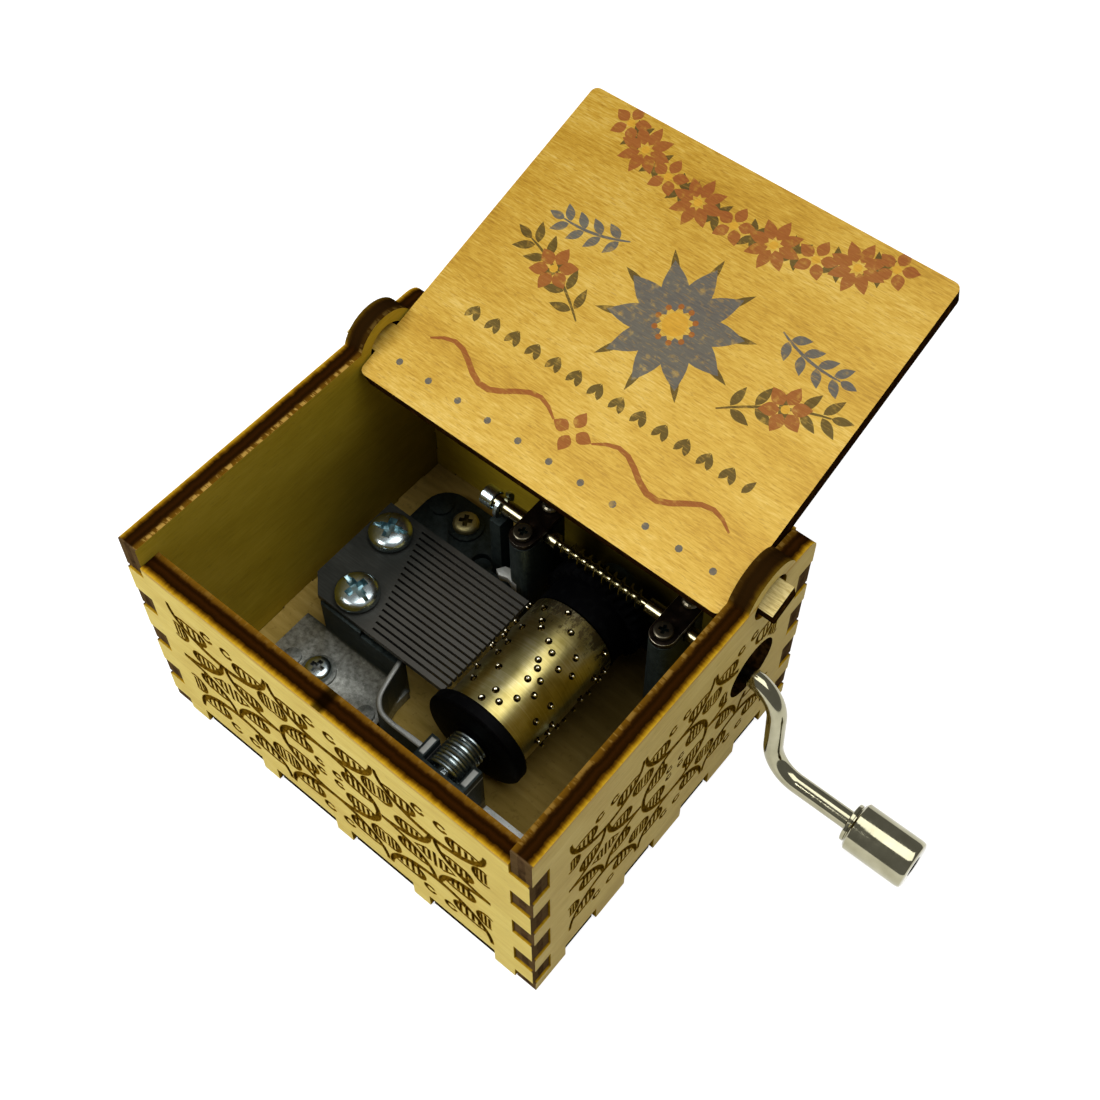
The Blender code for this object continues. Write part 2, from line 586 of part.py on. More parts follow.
def make_gear(mat):
    """Helical gear whose teeth follow the worm's lead, with the drum that closes the cylinder."""
    lead = math.atan(WORM_PITCH / (2 * math.pi * WORM_PITCH_RADIUS))
    step = 2 * math.pi / GEAR_TEETH
    outline = []
    for k in range(GEAR_TEETH):
        mid = (k + 0.5) * step
        for radius, side in ((GEAR_ROOT_RADIUS, -1), (GEAR_TIP_RADIUS, -1), (GEAR_TIP_RADIUS, 1),
                             (GEAR_ROOT_RADIUS, 1)):
            half = TOOTH_THICKNESS / 2 - (radius - GEAR_PITCH_RADIUS) * SLOPE
            a = mid + side * half / radius
            outline.append((radius * math.sin(a), radius * math.cos(a)))
    layers = 2
    front = SHAFT_Y - GEAR_FACE / 2
    bm = bmesh.new()
    rings = []
    for layer in range(layers + 1):
        y = front + GEAR_FACE * layer / layers
        twist = (y - SHAFT_Y) * math.tan(lead) / GEAR_PITCH_RADIUS
        ring = []
        for u, v in outline:
            x = u * math.cos(twist) + v * math.sin(twist)
            z = v * math.cos(twist) - u * math.sin(twist)
            ring.append(bm.verts.new((CYL_X + x, y, CYL_Z + z)))
        rings.append([bm.edges.new((ring[k], ring[(k + 1) % len(ring)])) for k in range(len(ring))])
    for one, two in zip(rings, rings[1:]):
        bmesh.ops.bridge_loops(bm, edges=one + two)
    bmesh.ops.holes_fill(bm, edges=rings[0] + rings[-1])
    gear = finish(bm, "cylinder_gear", mat)
    hub_back = front + GEAR_FACE + 0.5 * MM
    drum = turned("drum", [(CYL_BACK + RUNNING_GAP, 0), (CYL_BACK + RUNNING_GAP, CYL_RADIUS),
                           (front - 0.8 * MM, CYL_RADIUS), (front + 0.4 * MM, GEAR_HUB_RADIUS),
                           (hub_back, GEAR_HUB_RADIUS - 1.2 * MM), (hub_back, 0)],
                  (CYL_X, 0, CYL_Z), (0, 1, 0), 36)
    join(gear, drum)
    cut(gear, rod("bore", ARBOR_RADIUS + RUNNING_GAP, 0, 30 * MM, (CYL_X, 0, CYL_Z), (0, 1, 0)))
    smooth_again(gear, 25)
    return gear


def make_shaft(mat):
    """Crank shaft turned from one rod, its worm a single thread round a thin core."""
    worm_end = WORM_START + WORM_TURNS * WORM_PITCH
    neck = 0.6 * MM
    profile = [(SHAFT_LEFT, 0), (SHAFT_LEFT, SHAFT_RADIUS), (WORM_START - neck, SHAFT_RADIUS),
               (WORM_START - neck / 2, WORM_CORE_RADIUS), (worm_end + neck / 2, WORM_CORE_RADIUS),
               (worm_end + neck, SHAFT_RADIUS), (SHAFT_RIGHT, SHAFT_RADIUS), (SHAFT_RIGHT, STUB_RADIUS),
               (SHAFT_RIGHT + STUB_LENGTH, STUB_RADIUS), (SHAFT_RIGHT + STUB_LENGTH, 0)]
    shaft = turned("worm_shaft", profile, (0, SHAFT_Y, SHAFT_Z), (1, 0, 0), 20, mat)
    low = WORM_CORE_RADIUS - 0.1 * MM

    def half_width(radius):
        return TOOTH_THICKNESS / 2 - (radius - WORM_PITCH_RADIUS) * SLOPE

    corners = [(-half_width(low), low), (-half_width(WORM_OUTER_RADIUS), WORM_OUTER_RADIUS),
               (half_width(WORM_OUTER_RADIUS), WORM_OUTER_RADIUS), (half_width(low), low)]
    first = WORM_START + WORM_PITCH * 0.35
    turns = WORM_TURNS - 0.7
    phase = math.radians(-90) + (first - CYL_X) / WORM_PITCH * 2 * math.pi
    bm = bmesh.new()
    outward = Vector((0, math.cos(phase), math.sin(phase)))
    verts = [bm.verts.new(Vector((first + dx, SHAFT_Y, SHAFT_Z)) + outward * r) for dx, r in corners]
    loop = [bm.edges.new((verts[k], verts[(k + 1) % 4])) for k in range(4)]
    steps = round(turns * WORM_STEPS)
    bmesh.ops.spin(bm, geom=verts + loop, cent=(first, SHAFT_Y, SHAFT_Z), axis=(1, 0, 0),
                   dvec=(WORM_PITCH / WORM_STEPS, 0, 0), angle=steps * 2 * math.pi / WORM_STEPS, steps=steps)
    ends = [e for e in bm.edges if e.is_boundary]
    bmesh.ops.holes_fill(bm, edges=ends)
    thread = finish(bm, "thread", None)
    join(shaft, thread)
    smooth_again(shaft, 40)
    return shaft


def spring_points():
    """Centre line of the wire: a straight end, the curls, a straight end."""
    start = FLANGE_FRONT - SEAT_GAP
    end = BEARING_BACK + SEAT_GAP
    straight = 2 * SPRING_WIRE
    first = start - straight
    last = end + straight
    count = round(SPRING_CURLS * SPRING_POINTS)
    points = [Vector((CYL_X + SPRING_RADIUS, start, CYL_Z))]
    for k in range(count + 1):
        a = 2 * math.pi * k / SPRING_POINTS
        y = first + (last - first) * k / count
        points.append(Vector((CYL_X + SPRING_RADIUS * math.cos(a), y, CYL_Z + SPRING_RADIUS * math.sin(a))))
    tail = points[-1].copy()
    tail.y = end
    points.append(tail)
    return points


def tube_curve(name, points, radius, resolution, mat):
    curve = bpy.data.curves.new(name, "CURVE")
    curve.dimensions = "3D"
    curve.bevel_depth = radius
    curve.bevel_resolution = resolution
    curve.use_fill_caps = True
    spline = curve.splines.new("POLY")
    spline.points.add(len(points) - 1)
    for item, p in zip(spline.points, points):
        item.co = (p[0], p[1], p[2], 1)
    curve.materials.append(mat)
    item = bpy.data.objects.new(name, curve)
    bpy.context.scene.collection.objects.link(item)
    return item


def make_spring(mat):
    points = spring_points()
    spring = tube_curve("arbor_spring", points, SPRING_WIRE, 1, mat)
    least = 1.0
    for i, p in enumerate(points):
        for j in range(i + SPRING_POINTS // 2, len(points) - 1):
            a, b = points[j], points[j + 1]
            t = max(0, min(1, (p - a).dot(b - a) / (b - a).length_squared))
            least = min(least, (p - (a + (b - a) * t)).length - 2 * SPRING_WIRE)
    print("spring: least gap between curls %.3f mm" % (least / MM))
    return spring


def crank_points():
    """Wire centre line: along the shaft, down the arm, out along the handle."""
    down = Vector((0, HANDLE_Y - SHAFT_Y, HANDLE_Z - SHAFT_Z))
    reach = down.length
    down.normalize()
    out = Vector((1, 0, 0))
    top = Vector((ARM_X, SHAFT_Y, SHAFT_Z))
    low = top + down * reach
    r = BEND_RADIUS
    points = [Vector((SHAFT_RIGHT + SEAT_GAP, SHAFT_Y, SHAFT_Z))]
    bend = 9
    for k in range(bend + 1):
        a = math.pi / 2 * k / bend
        points.append(top - out * r + down * r + (out * math.sin(a) - down * math.cos(a)) * r)
    for k in range(bend + 1):
        a = math.pi / 2 * k / bend
        points.append(low - down * r + out * r + (down * math.sin(a) - out * math.cos(a)) * r)
    points.append(Vector((HANDLE_END, HANDLE_Y, HANDLE_Z)))
    return points


def make_crank(mat):
    wire = tube_curve("crank_wire", crank_points(), WIRE_RADIUS, 3, mat)
    bpy.context.view_layer.update()
    graph = bpy.context.evaluated_depsgraph_get()
    mesh = bpy.data.meshes.new_from_object(wire.evaluated_get(graph))
    bpy.data.objects.remove(wire, do_unlink=True)
    crank = bpy.data.objects.new("crank_arm", mesh)
    bpy.context.scene.collection.objects.link(crank)
    cut(crank, rod("bore", STUB_RADIUS + RUNNING_GAP, SHAFT_RIGHT - 1 * MM,
                   SHAFT_RIGHT + STUB_LENGTH + SEAT_GAP, (0, SHAFT_Y, SHAFT_Z), (1, 0, 0), 16))
    smooth_again(crank)
    return crank


def make_knob(mat):
    bore = WIRE_RADIUS + KNOB_BORE_GAP
    r = KNOB_RADIUS
    length = KNOB_END - KNOB_START
    profile = [(0, bore), (0, r * 0.82), (0.35 * MM, r * 0.94), (1.0 * MM, r), (length - 1.0 * MM, r),
               (length - 0.35 * MM, r * 0.94), (length, r * 0.82), (length, bore)]
    return turned("crank_knob", profile, (KNOB_START, HANDLE_Y, HANDLE_Z), (1, 0, 0), 24, mat)


def build():
    clear_scene()
    ply = material("birch_ply", (0.72, 0.55, 0.26), 0.6, 0.0)
    lid_ply = material("lid_ply", (0.80, 0.58, 0.22), 0.5, 0.0)
    zinc = material("cast_zinc", (0.22, 0.23, 0.22), 0.5, 0.9)
    comb_steel = material("comb_steel", (0.13, 0.13, 0.125), 0.45, 0.8)
    bright = material("zinc_plate", (0.72, 0.74, 0.74), 0.25, 1.0)
    brass = material("brass", (0.62, 0.52, 0.27), 0.25, 1.0)
    yellow = material("brassed_steel", (0.45, 0.40, 0.24), 0.4, 1.0)
    black = material("black_plastic", (0.012, 0.013, 0.015), 0.45, 0.0)
    steel = material("spring_steel", (0.35, 0.39, 0.40), 0.3, 1.0)
    dark = material("dark_strap", (0.03, 0.02, 0.012), 0.35, 0.8)
    nickel = material("nickel_wire", (0.62, 0.60, 0.52), 0.2, 1.0)

    make_front_or_back("front_wall", -HALF_D, -HALF_D + PLY, FRONT_TOP, ply)
    make_front_or_back("back_wall", HALF_D - PLY, HALF_D, BACK_TOP, ply)
    make_side("left_wall", -HALF_W, -HALF_W + PLY, ply)
    right = make_side("right_wall", HALF_W - PLY, HALF_W, ply)
    cut(right, rod("hole", CRANK_HOLE_RADIUS, HALF_W - 2 * PLY, HALF_W + PLY,
                   (0, CRANK_HOLE_Y, CRANK_HOLE_Z), (1, 0, 0), 40))
    make_base(ply)
    make_lid(lid_ply)

    make_frame(zinc)
    make_comb(comb_steel)
    for name, (x, y) in zip(("comb_screw_back", "comb_screw_front"), COMB_SCREWS):
        screw(name, x, y, COMB_TOP + SEAT_GAP, COMB_SCREW_HEAD, COMB_SCREW_HEIGHT,
              COMB_SCREW_SHANK, COMB_SCREW_LENGTH, bright)
    seat = PLATE_TOP + BOSS_RISE + SEAT_GAP
    reach = seat - WOOD_SCREW_POINT
    for name, place, mat in (("mount_screw_back", BACK_SCREW, yellow),
                             ("mount_screw_front", FRONT_SCREW, bright),
                             ("mount_screw_right", RIGHT_SCREW, bright)):
        screw(name, *place, seat, WOOD_SCREW_HEAD, WOOD_SCREW_HEIGHT, WOOD_SCREW_SHANK, reach, mat)

    make_cylinder(brass)
    flange_bore = ARBOR_RADIUS + RUNNING_GAP
    turned("cylinder_flange", [(FLANGE_FRONT, flange_bore), (FLANGE_FRONT, FLANGE_RADIUS - 0.3 * MM),
                               (FLANGE_FRONT + 0.3 * MM, FLANGE_RADIUS), (FLANGE_BACK, FLANGE_RADIUS),
                               (FLANGE_BACK, flange_bore)], (CYL_X, 0, CYL_Z), (0, 1, 0), 40, black)
    make_gear(black)
    rod("cylinder_arbor", ARBOR_RADIUS, ARBOR_FRONT, ARBOR_BACK, (CYL_X, 0, CYL_Z), (0, 1, 0), 24, steel)
    make_spring(steel)

    make_shaft(nickel)
    collar_bore = SHAFT_RADIUS + RUNNING_GAP
    turned("shaft_collar", [(-11.4 * MM, collar_bore), (-11.4 * MM, 1.6 * MM), (-9.4 * MM, 1.7 * MM),
                            (-9.4 * MM, collar_bore)], (0, SHAFT_Y, SHAFT_Z), (1, 0, 0), 24, bright)
    clip = turned("shaft_clip", [(-8.5 * MM, collar_bore), (-8.5 * MM, 2.0 * MM), (-8.0 * MM, 2.0 * MM),
                                 (-8.0 * MM, collar_bore)], (0, SHAFT_Y, SHAFT_Z), (1, 0, 0), 24, steel)
    mouth = box_outline(SHAFT_Y - 0.8 * MM, SHAFT_Y + 0.8 * MM, SHAFT_Z, SHAFT_Z + 4 * MM)
    cut(clip, prism("mouth", mouth, "YZ", -10 * MM, -7 * MM))

    for name, x in (("strap_left", LEFT_STAND_X), ("strap_right", RIGHT_STAND_X)):
        front = arc(x, STAND_FRONT_Y, STAND_RADIUS, 180, 360, 12)
        outline = front + [(x + STAND_RADIUS, STRAP_BACK), (x - STAND_RADIUS, STRAP_BACK)]
        strap = prism(name, outline, "XY", STRAP_BOTTOM, STRAP_BOTTOM + STRAP_THICKNESS, dark)
        for y in (STAND_FRONT_Y, STAND_REAR_Y):
            cut(strap, rod("hole", STRAP_SCREW_SHANK + RUNNING_GAP, 0, 40 * MM, (x, y, 0), (0, 0, 1), 16))
    strap_seat = STRAP_BOTTOM + STRAP_THICKNESS + SEAT_GAP
    for side, x in (("left", LEFT_STAND_X), ("right", RIGHT_STAND_X)):
        screw("strap_screw_" + side, x, STAND_FRONT_Y, strap_seat, STRAP_SCREW_HEAD, STRAP_SCREW_HEIGHT,
              STRAP_SCREW_SHANK, STRAP_SCREW_LENGTH, steel)
        screw("strap_rivet_" + side, x, STAND_REAR_Y, strap_seat, STRAP_RIVET_HEAD, STRAP_RIVET_HEIGHT,
              STRAP_SCREW_SHANK, STRAP_SCREW_LENGTH, bright)

    make_crank(nickel)
    make_knob(nickel)


build()
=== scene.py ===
import math
import random

import bmesh
import bpy
from mathutils import Matrix, Vector
from mathutils.geometry import delaunay_2d_cdt


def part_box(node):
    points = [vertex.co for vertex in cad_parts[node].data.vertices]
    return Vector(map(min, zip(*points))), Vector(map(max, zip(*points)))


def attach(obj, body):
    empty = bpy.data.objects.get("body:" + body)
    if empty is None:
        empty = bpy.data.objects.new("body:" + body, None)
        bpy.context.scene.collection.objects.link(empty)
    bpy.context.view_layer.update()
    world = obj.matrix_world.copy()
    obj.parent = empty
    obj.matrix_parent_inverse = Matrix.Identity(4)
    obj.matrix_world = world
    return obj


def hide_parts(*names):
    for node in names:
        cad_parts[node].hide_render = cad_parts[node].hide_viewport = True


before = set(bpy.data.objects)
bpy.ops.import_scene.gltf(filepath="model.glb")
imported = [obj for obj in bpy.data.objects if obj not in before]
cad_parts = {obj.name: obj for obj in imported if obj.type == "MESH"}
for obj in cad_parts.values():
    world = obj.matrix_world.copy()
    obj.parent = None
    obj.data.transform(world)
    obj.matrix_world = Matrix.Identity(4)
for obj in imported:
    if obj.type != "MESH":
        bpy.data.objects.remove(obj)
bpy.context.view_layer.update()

MM = 0.001
HALF_WIDTH = 32.0 * MM
HALF_DEPTH = 26.7 * MM


# Plywood walls: four boards of three-ply birch, cut and engraved by laser and glued at their
# fingers. The beam leaves pale faces, sunk brown scrollwork and edges of gold and dark plies.
class Wire:
    """One socket of a finish. Sums, products and powers of wires add Math nodes."""

    def __init__(self, finish, socket):
        self.finish = finish
        self.socket = socket

    def maths(self, operation, one, two):
        return self.finish.node("ShaderNodeMath", {"operation": operation}, {0: one, 1: two})

    def __add__(self, other):
        return self.maths("ADD", self, other)

    __radd__ = __add__

    def __sub__(self, other):
        return self.maths("SUBTRACT", self, other)

    def __rsub__(self, other):
        return self.maths("SUBTRACT", other, self)

    def __mul__(self, other):
        return self.maths("MULTIPLY", self, other)

    __rmul__ = __mul__

    def __pow__(self, other):
        return self.maths("POWER", self, other)

    def __abs__(self):
        return self.maths("ABSOLUTE", self, 0.0)

    def above(self, low, high):
        """0 below low, 1 above high, smooth between."""
        settings = {"interpolation_type": "SMOOTHSTEP"}
        return self.finish.node("ShaderNodeMapRange", settings, {0: self, 1: low, 2: high})

    def most(self, other):
        return self.maths("MAXIMUM", self, other)


class Finish:
    """A surface finish: a Principled shader and the nodes that feed it."""

    def __init__(self, name, **steady):
        self.material = bpy.data.materials.new(name)
        self.material.use_nodes = True
        self.tree = self.material.node_tree
        self.shader = self.tree.nodes["Principled BSDF"]
        for key, value in steady.items():
            self.shader.inputs[key.replace("_", " ")].default_value = value
        self.place = self.node("ShaderNodeTexCoord", out="Object")
        self.x, self.y, self.z = (self.node("ShaderNodeSeparateXYZ", {}, {0: self.place}, k)
                                  for k in range(3))

    def node(self, kind, settings=None, sockets=None, out=0):
        """Add a node: its settings first, then the values or wires of its sockets."""
        new = self.tree.nodes.new(kind)
        for key, value in (settings or {}).items():
            if key == "stops":
                self.set_stops(new.color_ramp, value)
            else:
                setattr(new, key, value)
        for key, value in (sockets or {}).items():
            if isinstance(value, Wire):
                self.tree.links.new(value.socket, new.inputs[key])
            elif isinstance(value, tuple) and len(new.inputs[key].default_value) == 4:
                new.inputs[key].default_value = (*value, 1.0)
            else:
                new.inputs[key].default_value = value
        return Wire(self, new.outputs[out])

    def set_stops(self, ramp, stops):
        while len(ramp.elements) < len(stops):
            ramp.elements.new(0.5)
        for element, (place, color) in zip(ramp.elements, stops):
            element.position = place
            element.color = (*tint(color), 1.0)

    def stretched(self, scale):
        """Object coordinates times a scale along each axis, in features per metre."""
        return self.node("ShaderNodeVectorMath", {"operation": "MULTIPLY"}, {0: self.place, 1: scale})

    def noise(self, scale, detail=2.0, roughness=0.5):
        return self.node("ShaderNodeTexNoise", {}, {"Vector": self.stretched(scale), "Scale": 1.0,
                                                    "Detail": detail, "Roughness": roughness})

    def ramp(self, value, *stops):
        return self.node("ShaderNodeValToRGB", {"stops": stops}, {0: value})

    def mix(self, share, one, two):
        """Colour one where share is 0, colour two where it is 1."""
        one, two = (tint(color) if isinstance(color, str) else color for color in (one, two))
        return self.node("ShaderNodeMix", {"data_type": "RGBA"}, {0: share, 6: one, 7: two}, 2)

    def feed(self, socket, wire):
        self.tree.links.new(wire.socket, self.shader.inputs[socket])

    def relief(self, height, depth):
        """Fine relief from a height between 0 and 1, depth in metres."""
        self.feed("Normal", self.node("ShaderNodeBump", {}, {"Height": height, "Distance": depth,
                                                             "Strength": 1.0}, "Normal"))


def tint(code):
    """Linear colour from a six-digit colour code."""
    parts = [int(code[k:k + 2], 16) / 255 for k in (0, 2, 4)]
    return tuple(p / 12.92 if p <= 0.04045 else ((p + 0.055) / 1.055) ** 2.4 for p in parts)


def grain_scale(axis, along=55, across=1500):
    """Scale of wood fibres that run along one axis."""
    return tuple(along if k == axis else across for k in range(3))


def ply_face(name, axis, light, mid, dark, top=None, shade=None):
    """Sanded birch veneer with fine fibres, dark flecks and clouds, singed at a top edge.

    shade gives the share of painted shade at a place."""
    wood = Finish(name, Specular_IOR_Level=0.15)
    fibres = wood.noise(grain_scale(axis, 260, 3200), 4.0, 0.6)
    clouds = wood.noise(grain_scale(axis, 90, 190), 3.0)
    flecks = wood.noise(grain_scale(axis, 700, 3600), 1.0).above(0.66, 0.74)
    color = wood.ramp(fibres * 0.45 + clouds * 0.55, (0.3, dark), (0.5, mid), (0.7, light))
    color = wood.mix(flecks * 0.3, color, tuple(c * 0.5 for c in tint(mid)))
    if top:
        singe = (wood.z + (fibres + clouds - 1.0) * 0.0012).above(top - 0.0008, top - 0.0002)
        singe *= 1 - wood.z.above(top + 0.0001, top + 0.0003)
        color = wood.mix(singe * 0.8, color, "b98a12")
    # Painted shade: darker by the share that shade gives.
    if shade:
        color = wood.mix(shade(wood), color, "1a1404")
    wood.feed("Base Color", color)
    wood.feed("Roughness", 0.7 - fibres * 0.15)
    wood.relief(fibres + flecks * -0.4, 0.00003)
    return wood.material


def ply_edge(name, thick_axis, centre, side, end_axis, end, ear_foot, ticked, burn=False):
    """Laser-cut edge: mustard outer ply, charred core, brown inner ply ticked with pale grain.

    side says which way the outer ply lies. Past end on end_axis the edge is a finger's end."""
    edge = Finish(name, Specular_IOR_Level=0.0)
    axes = (edge.x, edge.y, edge.z)
    ragged = edge.noise((520, 520, 520), 4.0, 0.7)
    along = edge.noise(tuple(300 if k == thick_axis else 1500 for k in range(3)), 3.0, 0.6)
    layer = (axes[thick_axis] - centre) * (side / PLY) + 0.5
    layer = layer + (ragged - 0.5) * 0.14 + (along - 0.5) * 0.16
    color = edge.ramp(layer, (0.0, "74500f"), (0.16, "5e3e0c"), (0.27, "2c1603"),
                      (0.36, "1d0d01"), (0.5, "2f1703"), (0.72, "1b0c01"),
                      (0.82, "5f3d06"), (0.92, "a87e14"), (1.0, "cfa42a"))
    ticks = along.above(0.5, 0.58) * (1 - layer.above(0.12, 0.26))
    color = edge.mix(ticks * ticked, color, "c09848")
    if ear_foot:
        color = edge.mix(edge.z.above(ear_foot - 0.0004, ear_foot + 0.001) * 0.84, color, "241606")
    if burn:
        color = edge.mix((1 - abs(edge.x - 0.0004).above(0.0004, 0.0013)) * 0.85, color, "080400")
    ends = abs(axes[end_axis]).above(end - 0.0003, end - 0.0001)
    core = abs(layer - 0.5).above(0.14, 0.2)
    char = edge.ramp(ragged, (0.3, "342515"), (0.7, "634c31"))
    char = edge.mix(core * 0.5, char, "6c5636")
    edge.feed("Base Color", edge.mix(ends, color, char))
    edge.feed("Roughness", 0.6 + ragged * 0.2)
    edge.relief(ragged * 0.5 + along * 0.5, 0.00012)
    return edge.material


def burnt_groove(name, dark, light):
    """Floor and sides of the engraving, scorched brown."""
    groove = Finish(name, Roughness=0.85, Specular_IOR_Level=0.0)
    soot = groove.noise((1800, 1800, 1800), 3.0)
    groove.feed("Base Color", groove.ramp(soot, (0.35, dark), (0.65, light)))
    return groove.material


def oval(cu, cv, ru, rv, start, end, steps):
    """Points along an oval between two angles in degrees."""
    angles = [math.radians(start + (end - start) * k / steps) for k in range(steps + 1)]
    return [Vector((cu + ru * math.cos(a), cv + rv * math.sin(a))) for a in angles]


def brush(path, wide, tip):
    """Outline of a stroke that swells in its middle and narrows at its tips."""
    last = len(path) - 1
    one, two = [], []
    for k, p in enumerate(path):
        along = (path[min(k + 1, last)] - path[max(k - 1, 0)]).normalized()
        half = (tip + (wide - tip) * max(0.0, math.sin(math.pi * k / last)) ** 0.6) * 0.46
        side = Vector((-along.y, along.x)) * half
        one.append(p + side)
        two.append(p - side)
    return one + two[::-1]


def bar(u, one, two, wide):
    """Upright cut between two heights."""
    left, right = u - wide / 2, u + wide / 2
    return [Vector(p) for p in ((left, one), (right, one), (right, two), (left, two))]


def nested_leaf(cu, cv, ru, rv, near, inner, outer, line):
    """Hatched leaf that fills part of an oval's quarter: bars down to the oval, a back and a curl.

    The leaf lies between the shares inner and outer of ru, and reaches up to the share near of rv."""
    shapes = []
    for k in range(5):
        p = inner + (outer - inner) * (k + 0.6) / 5
        foot = cv + rv * (near + 0.04)
        shapes.append(bar(cu + ru * p, foot, cv + rv * math.sqrt(1 - p * p), 0.42 * line))
    back = [Vector((outer + 0.04, near + 0.03)), Vector(((inner + outer) / 2 + 0.1, near - 0.03))]
    back += oval(inner + 0.13, near + 0.2, 0.16, 0.21, 270, 75, 10)
    back = [Vector((cu + ru * p.x, cv + rv * p.y)) for p in back]
    shapes.append(brush(back, 0.78 * line, 0.4 * line))
    shapes.append(oval(back[-1].x, back[-1].y, 0.42 * line, 0.42 * line, 0, 330, 11))
    return shapes


def leaf_pair(cu, cv, sides, way, line):
    """Two hatched half leaves that lean together between the arches; way is 1 where they point up."""
    shapes = []
    line *= 0.86
    for side in sides:
        rim = [Vector((cu + side * p.x * line, cv + way * p.y * line))
               for p in oval(0.85, -0.1, 1.75, 2.2, 112, -125, 14)]
        shapes.append(brush(rim, 0.72 * line, 0.3 * line))
        for u, high in ((0.5, 1.7), (1.22, 1.85), (1.94, 1.3)):
            rise = way * high * line
            shapes.append(bar(cu + side * u * line, cv + rise, cv - rise, 0.38 * line))
    return shapes


def dot(cu, cv, radius, line):
    """Small open ring."""
    return brush(oval(cu, cv, radius * line, radius * line, 35, 350, 12), 0.62 * line, 0.45 * line)


def scrollwork(pitch, tips, drops, peaks, feet):
    """Common arabesque of three cells: arches, a ring between two stars, leaves and dots."""
    shapes = []
    line = pitch / 17.1
    half = pitch / 2
    wide = half - 0.3 * line
    middle = (drops + peaks) / 2
    reach = (drops - peaks) / 2
    for cell in (-1, 0, 1):
        c = pitch * cell
        for edge, depth in ((tips, drops - tips), (feet, peaks - feet)):
            shapes.append(brush(oval(c, edge, wide, depth, 180, 0, 30), 1.12 * line, 0.5 * line))
            for side in (-1, 1):
                shapes += nested_leaf(c, edge, side * wide, depth, 0.36, 0.34, 0.94, line)
                shapes.append(dot(c + side * 1.7 * line, edge + depth * 0.22, 0.8, line))
        for side in (-1, 1):
            for way in (-1, 1):
                if cell == 0:
                    radii = (side * (wide - 0.2), way * reach)
                    shapes.append(brush(oval(c, middle, *radii, 0, 92, 16), 0.95 * line, 0.9 * line))
                    shapes += nested_leaf(c, middle, *radii, 0.26, 0.36, 0.9, line)
                    shapes.append(dot(c + side * 1.5 * line, middle + way * 1.25 * line, 0.62, line))
                else:
                    corner = (c + side * half, middle + way * reach)
                    radii = (-side * (half - 0.4 * line), -way * (reach - 0.15 * line))
                    shapes.append(brush(oval(*corner, *radii, 0, 90, 18), 1.0 * line, 0.5 * line))
                    shapes += nested_leaf(*corner, *radii, 0.36, 0.36, 0.88, line)
        if cell:
            for u, high in ((-1.8, 0.95), (-0.9, 1.6), (0, 2.1), (0.9, 1.6), (1.8, 0.95)):
                shapes.append(bar(c + u * line, middle - high * line, middle + high * line, 0.42 * line))
            for side in (-1, 1):
                tip = [Vector((c + side * u * line, middle + v * line))
                       for u, v in ((1.1, 1.6), (3.1, 0), (1.1, -1.6))]
                shapes.append(brush(tip, 0.6 * line, 0.35 * line))
    for edge in (-1.5, -0.5, 0.5, 1.5):
        sides = (1,) if edge < -1 else (-1,) if edge > 1 else (-1, 1)
        shapes += leaf_pair(pitch * edge, drops + 0.4, sides, 1, line)
        shapes += leaf_pair(pitch * edge, peaks - 0.4, sides, -1, line)
    return shapes


def clear_of(shape, centre, radius):
    """The stretches of a stroke that stay clear of a round hole."""
    runs, run = [], []
    for k in range(len(shape) // 2):
        pair = (shape[k], shape[-1 - k])
        if all((p - centre).length > radius for p in pair):
            run.append(pair)
        else:
            runs.append(run)
            run = []
    runs.append(run)
    return [[a for a, _ in run] + [b for _, b in reversed(run)] for run in runs if len(run) > 1]


def anticlockwise(shape):
    """An outline in the order that the triangulation needs."""
    area = sum(a.x * b.y - b.x * a.y for a, b in zip(shape, shape[1:] + shape[:1]))
    return shape[::-1] if area < 0 else shape


def widened(shape, grow):
    """An outline moved outwards by a distance."""
    shape = anticlockwise(shape)
    grown = []
    for k, p in enumerate(shape):
        along = (shape[(k + 1) % len(shape)] - shape[k - 1]).normalized()
        grown.append(p + Vector((along.y, -along.x)) * grow)
    return grown


def divide_face(node, out, across, groups):
    """Split the face of a CAD board into the shapes drawn on it.

    Gives a bmesh of that face, each part marked with the number of its shapes' group."""
    copy = bmesh.new()
    copy.from_mesh(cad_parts[node].data)
    bmesh.ops.remove_doubles(copy, verts=copy.verts, dist=WELD)
    up = out.cross(across)
    level = max(v.co.dot(out) for v in copy.verts)
    points, outlines, owners = [], [], []

    def add_outline(outline, owner):
        outlines.append(list(range(len(points), len(points) + len(outline))))
        points.extend(anticlockwise(outline))
        owners.append(owner)

    for face in copy.faces:
        if face.normal.dot(out) > 0.99 and abs(face.verts[0].co.dot(out) - level) < FLUSH:
            add_outline([Vector((v.co.dot(across), v.co.dot(up))) / MM for v in face.verts], 0)
    copy.free()
    for owner, shapes in groups:
        for shape in shapes:
            add_outline(shape, owner)
    verts, _, faces, _, _, origins = delaunay_2d_cdt(points, [], outlines, 1, 1e-5)
    bm = bmesh.new()
    made = [bm.verts.new(across * v.x * MM + up * v.y * MM + out * level) for v in verts]
    for face, origin in zip(faces, origins):
        marks = [owners[k] for k in origin]
        if 0 in marks and len(set(face)) == 3:
            new = bm.faces.new([made[k] for k in face])
            new.material_index = max(marks)
    loose = [v for v in bm.verts if not v.link_faces]
    bmesh.ops.delete(bm, geom=loose, context="VERTS")
    bm.normal_update()
    return bm, level


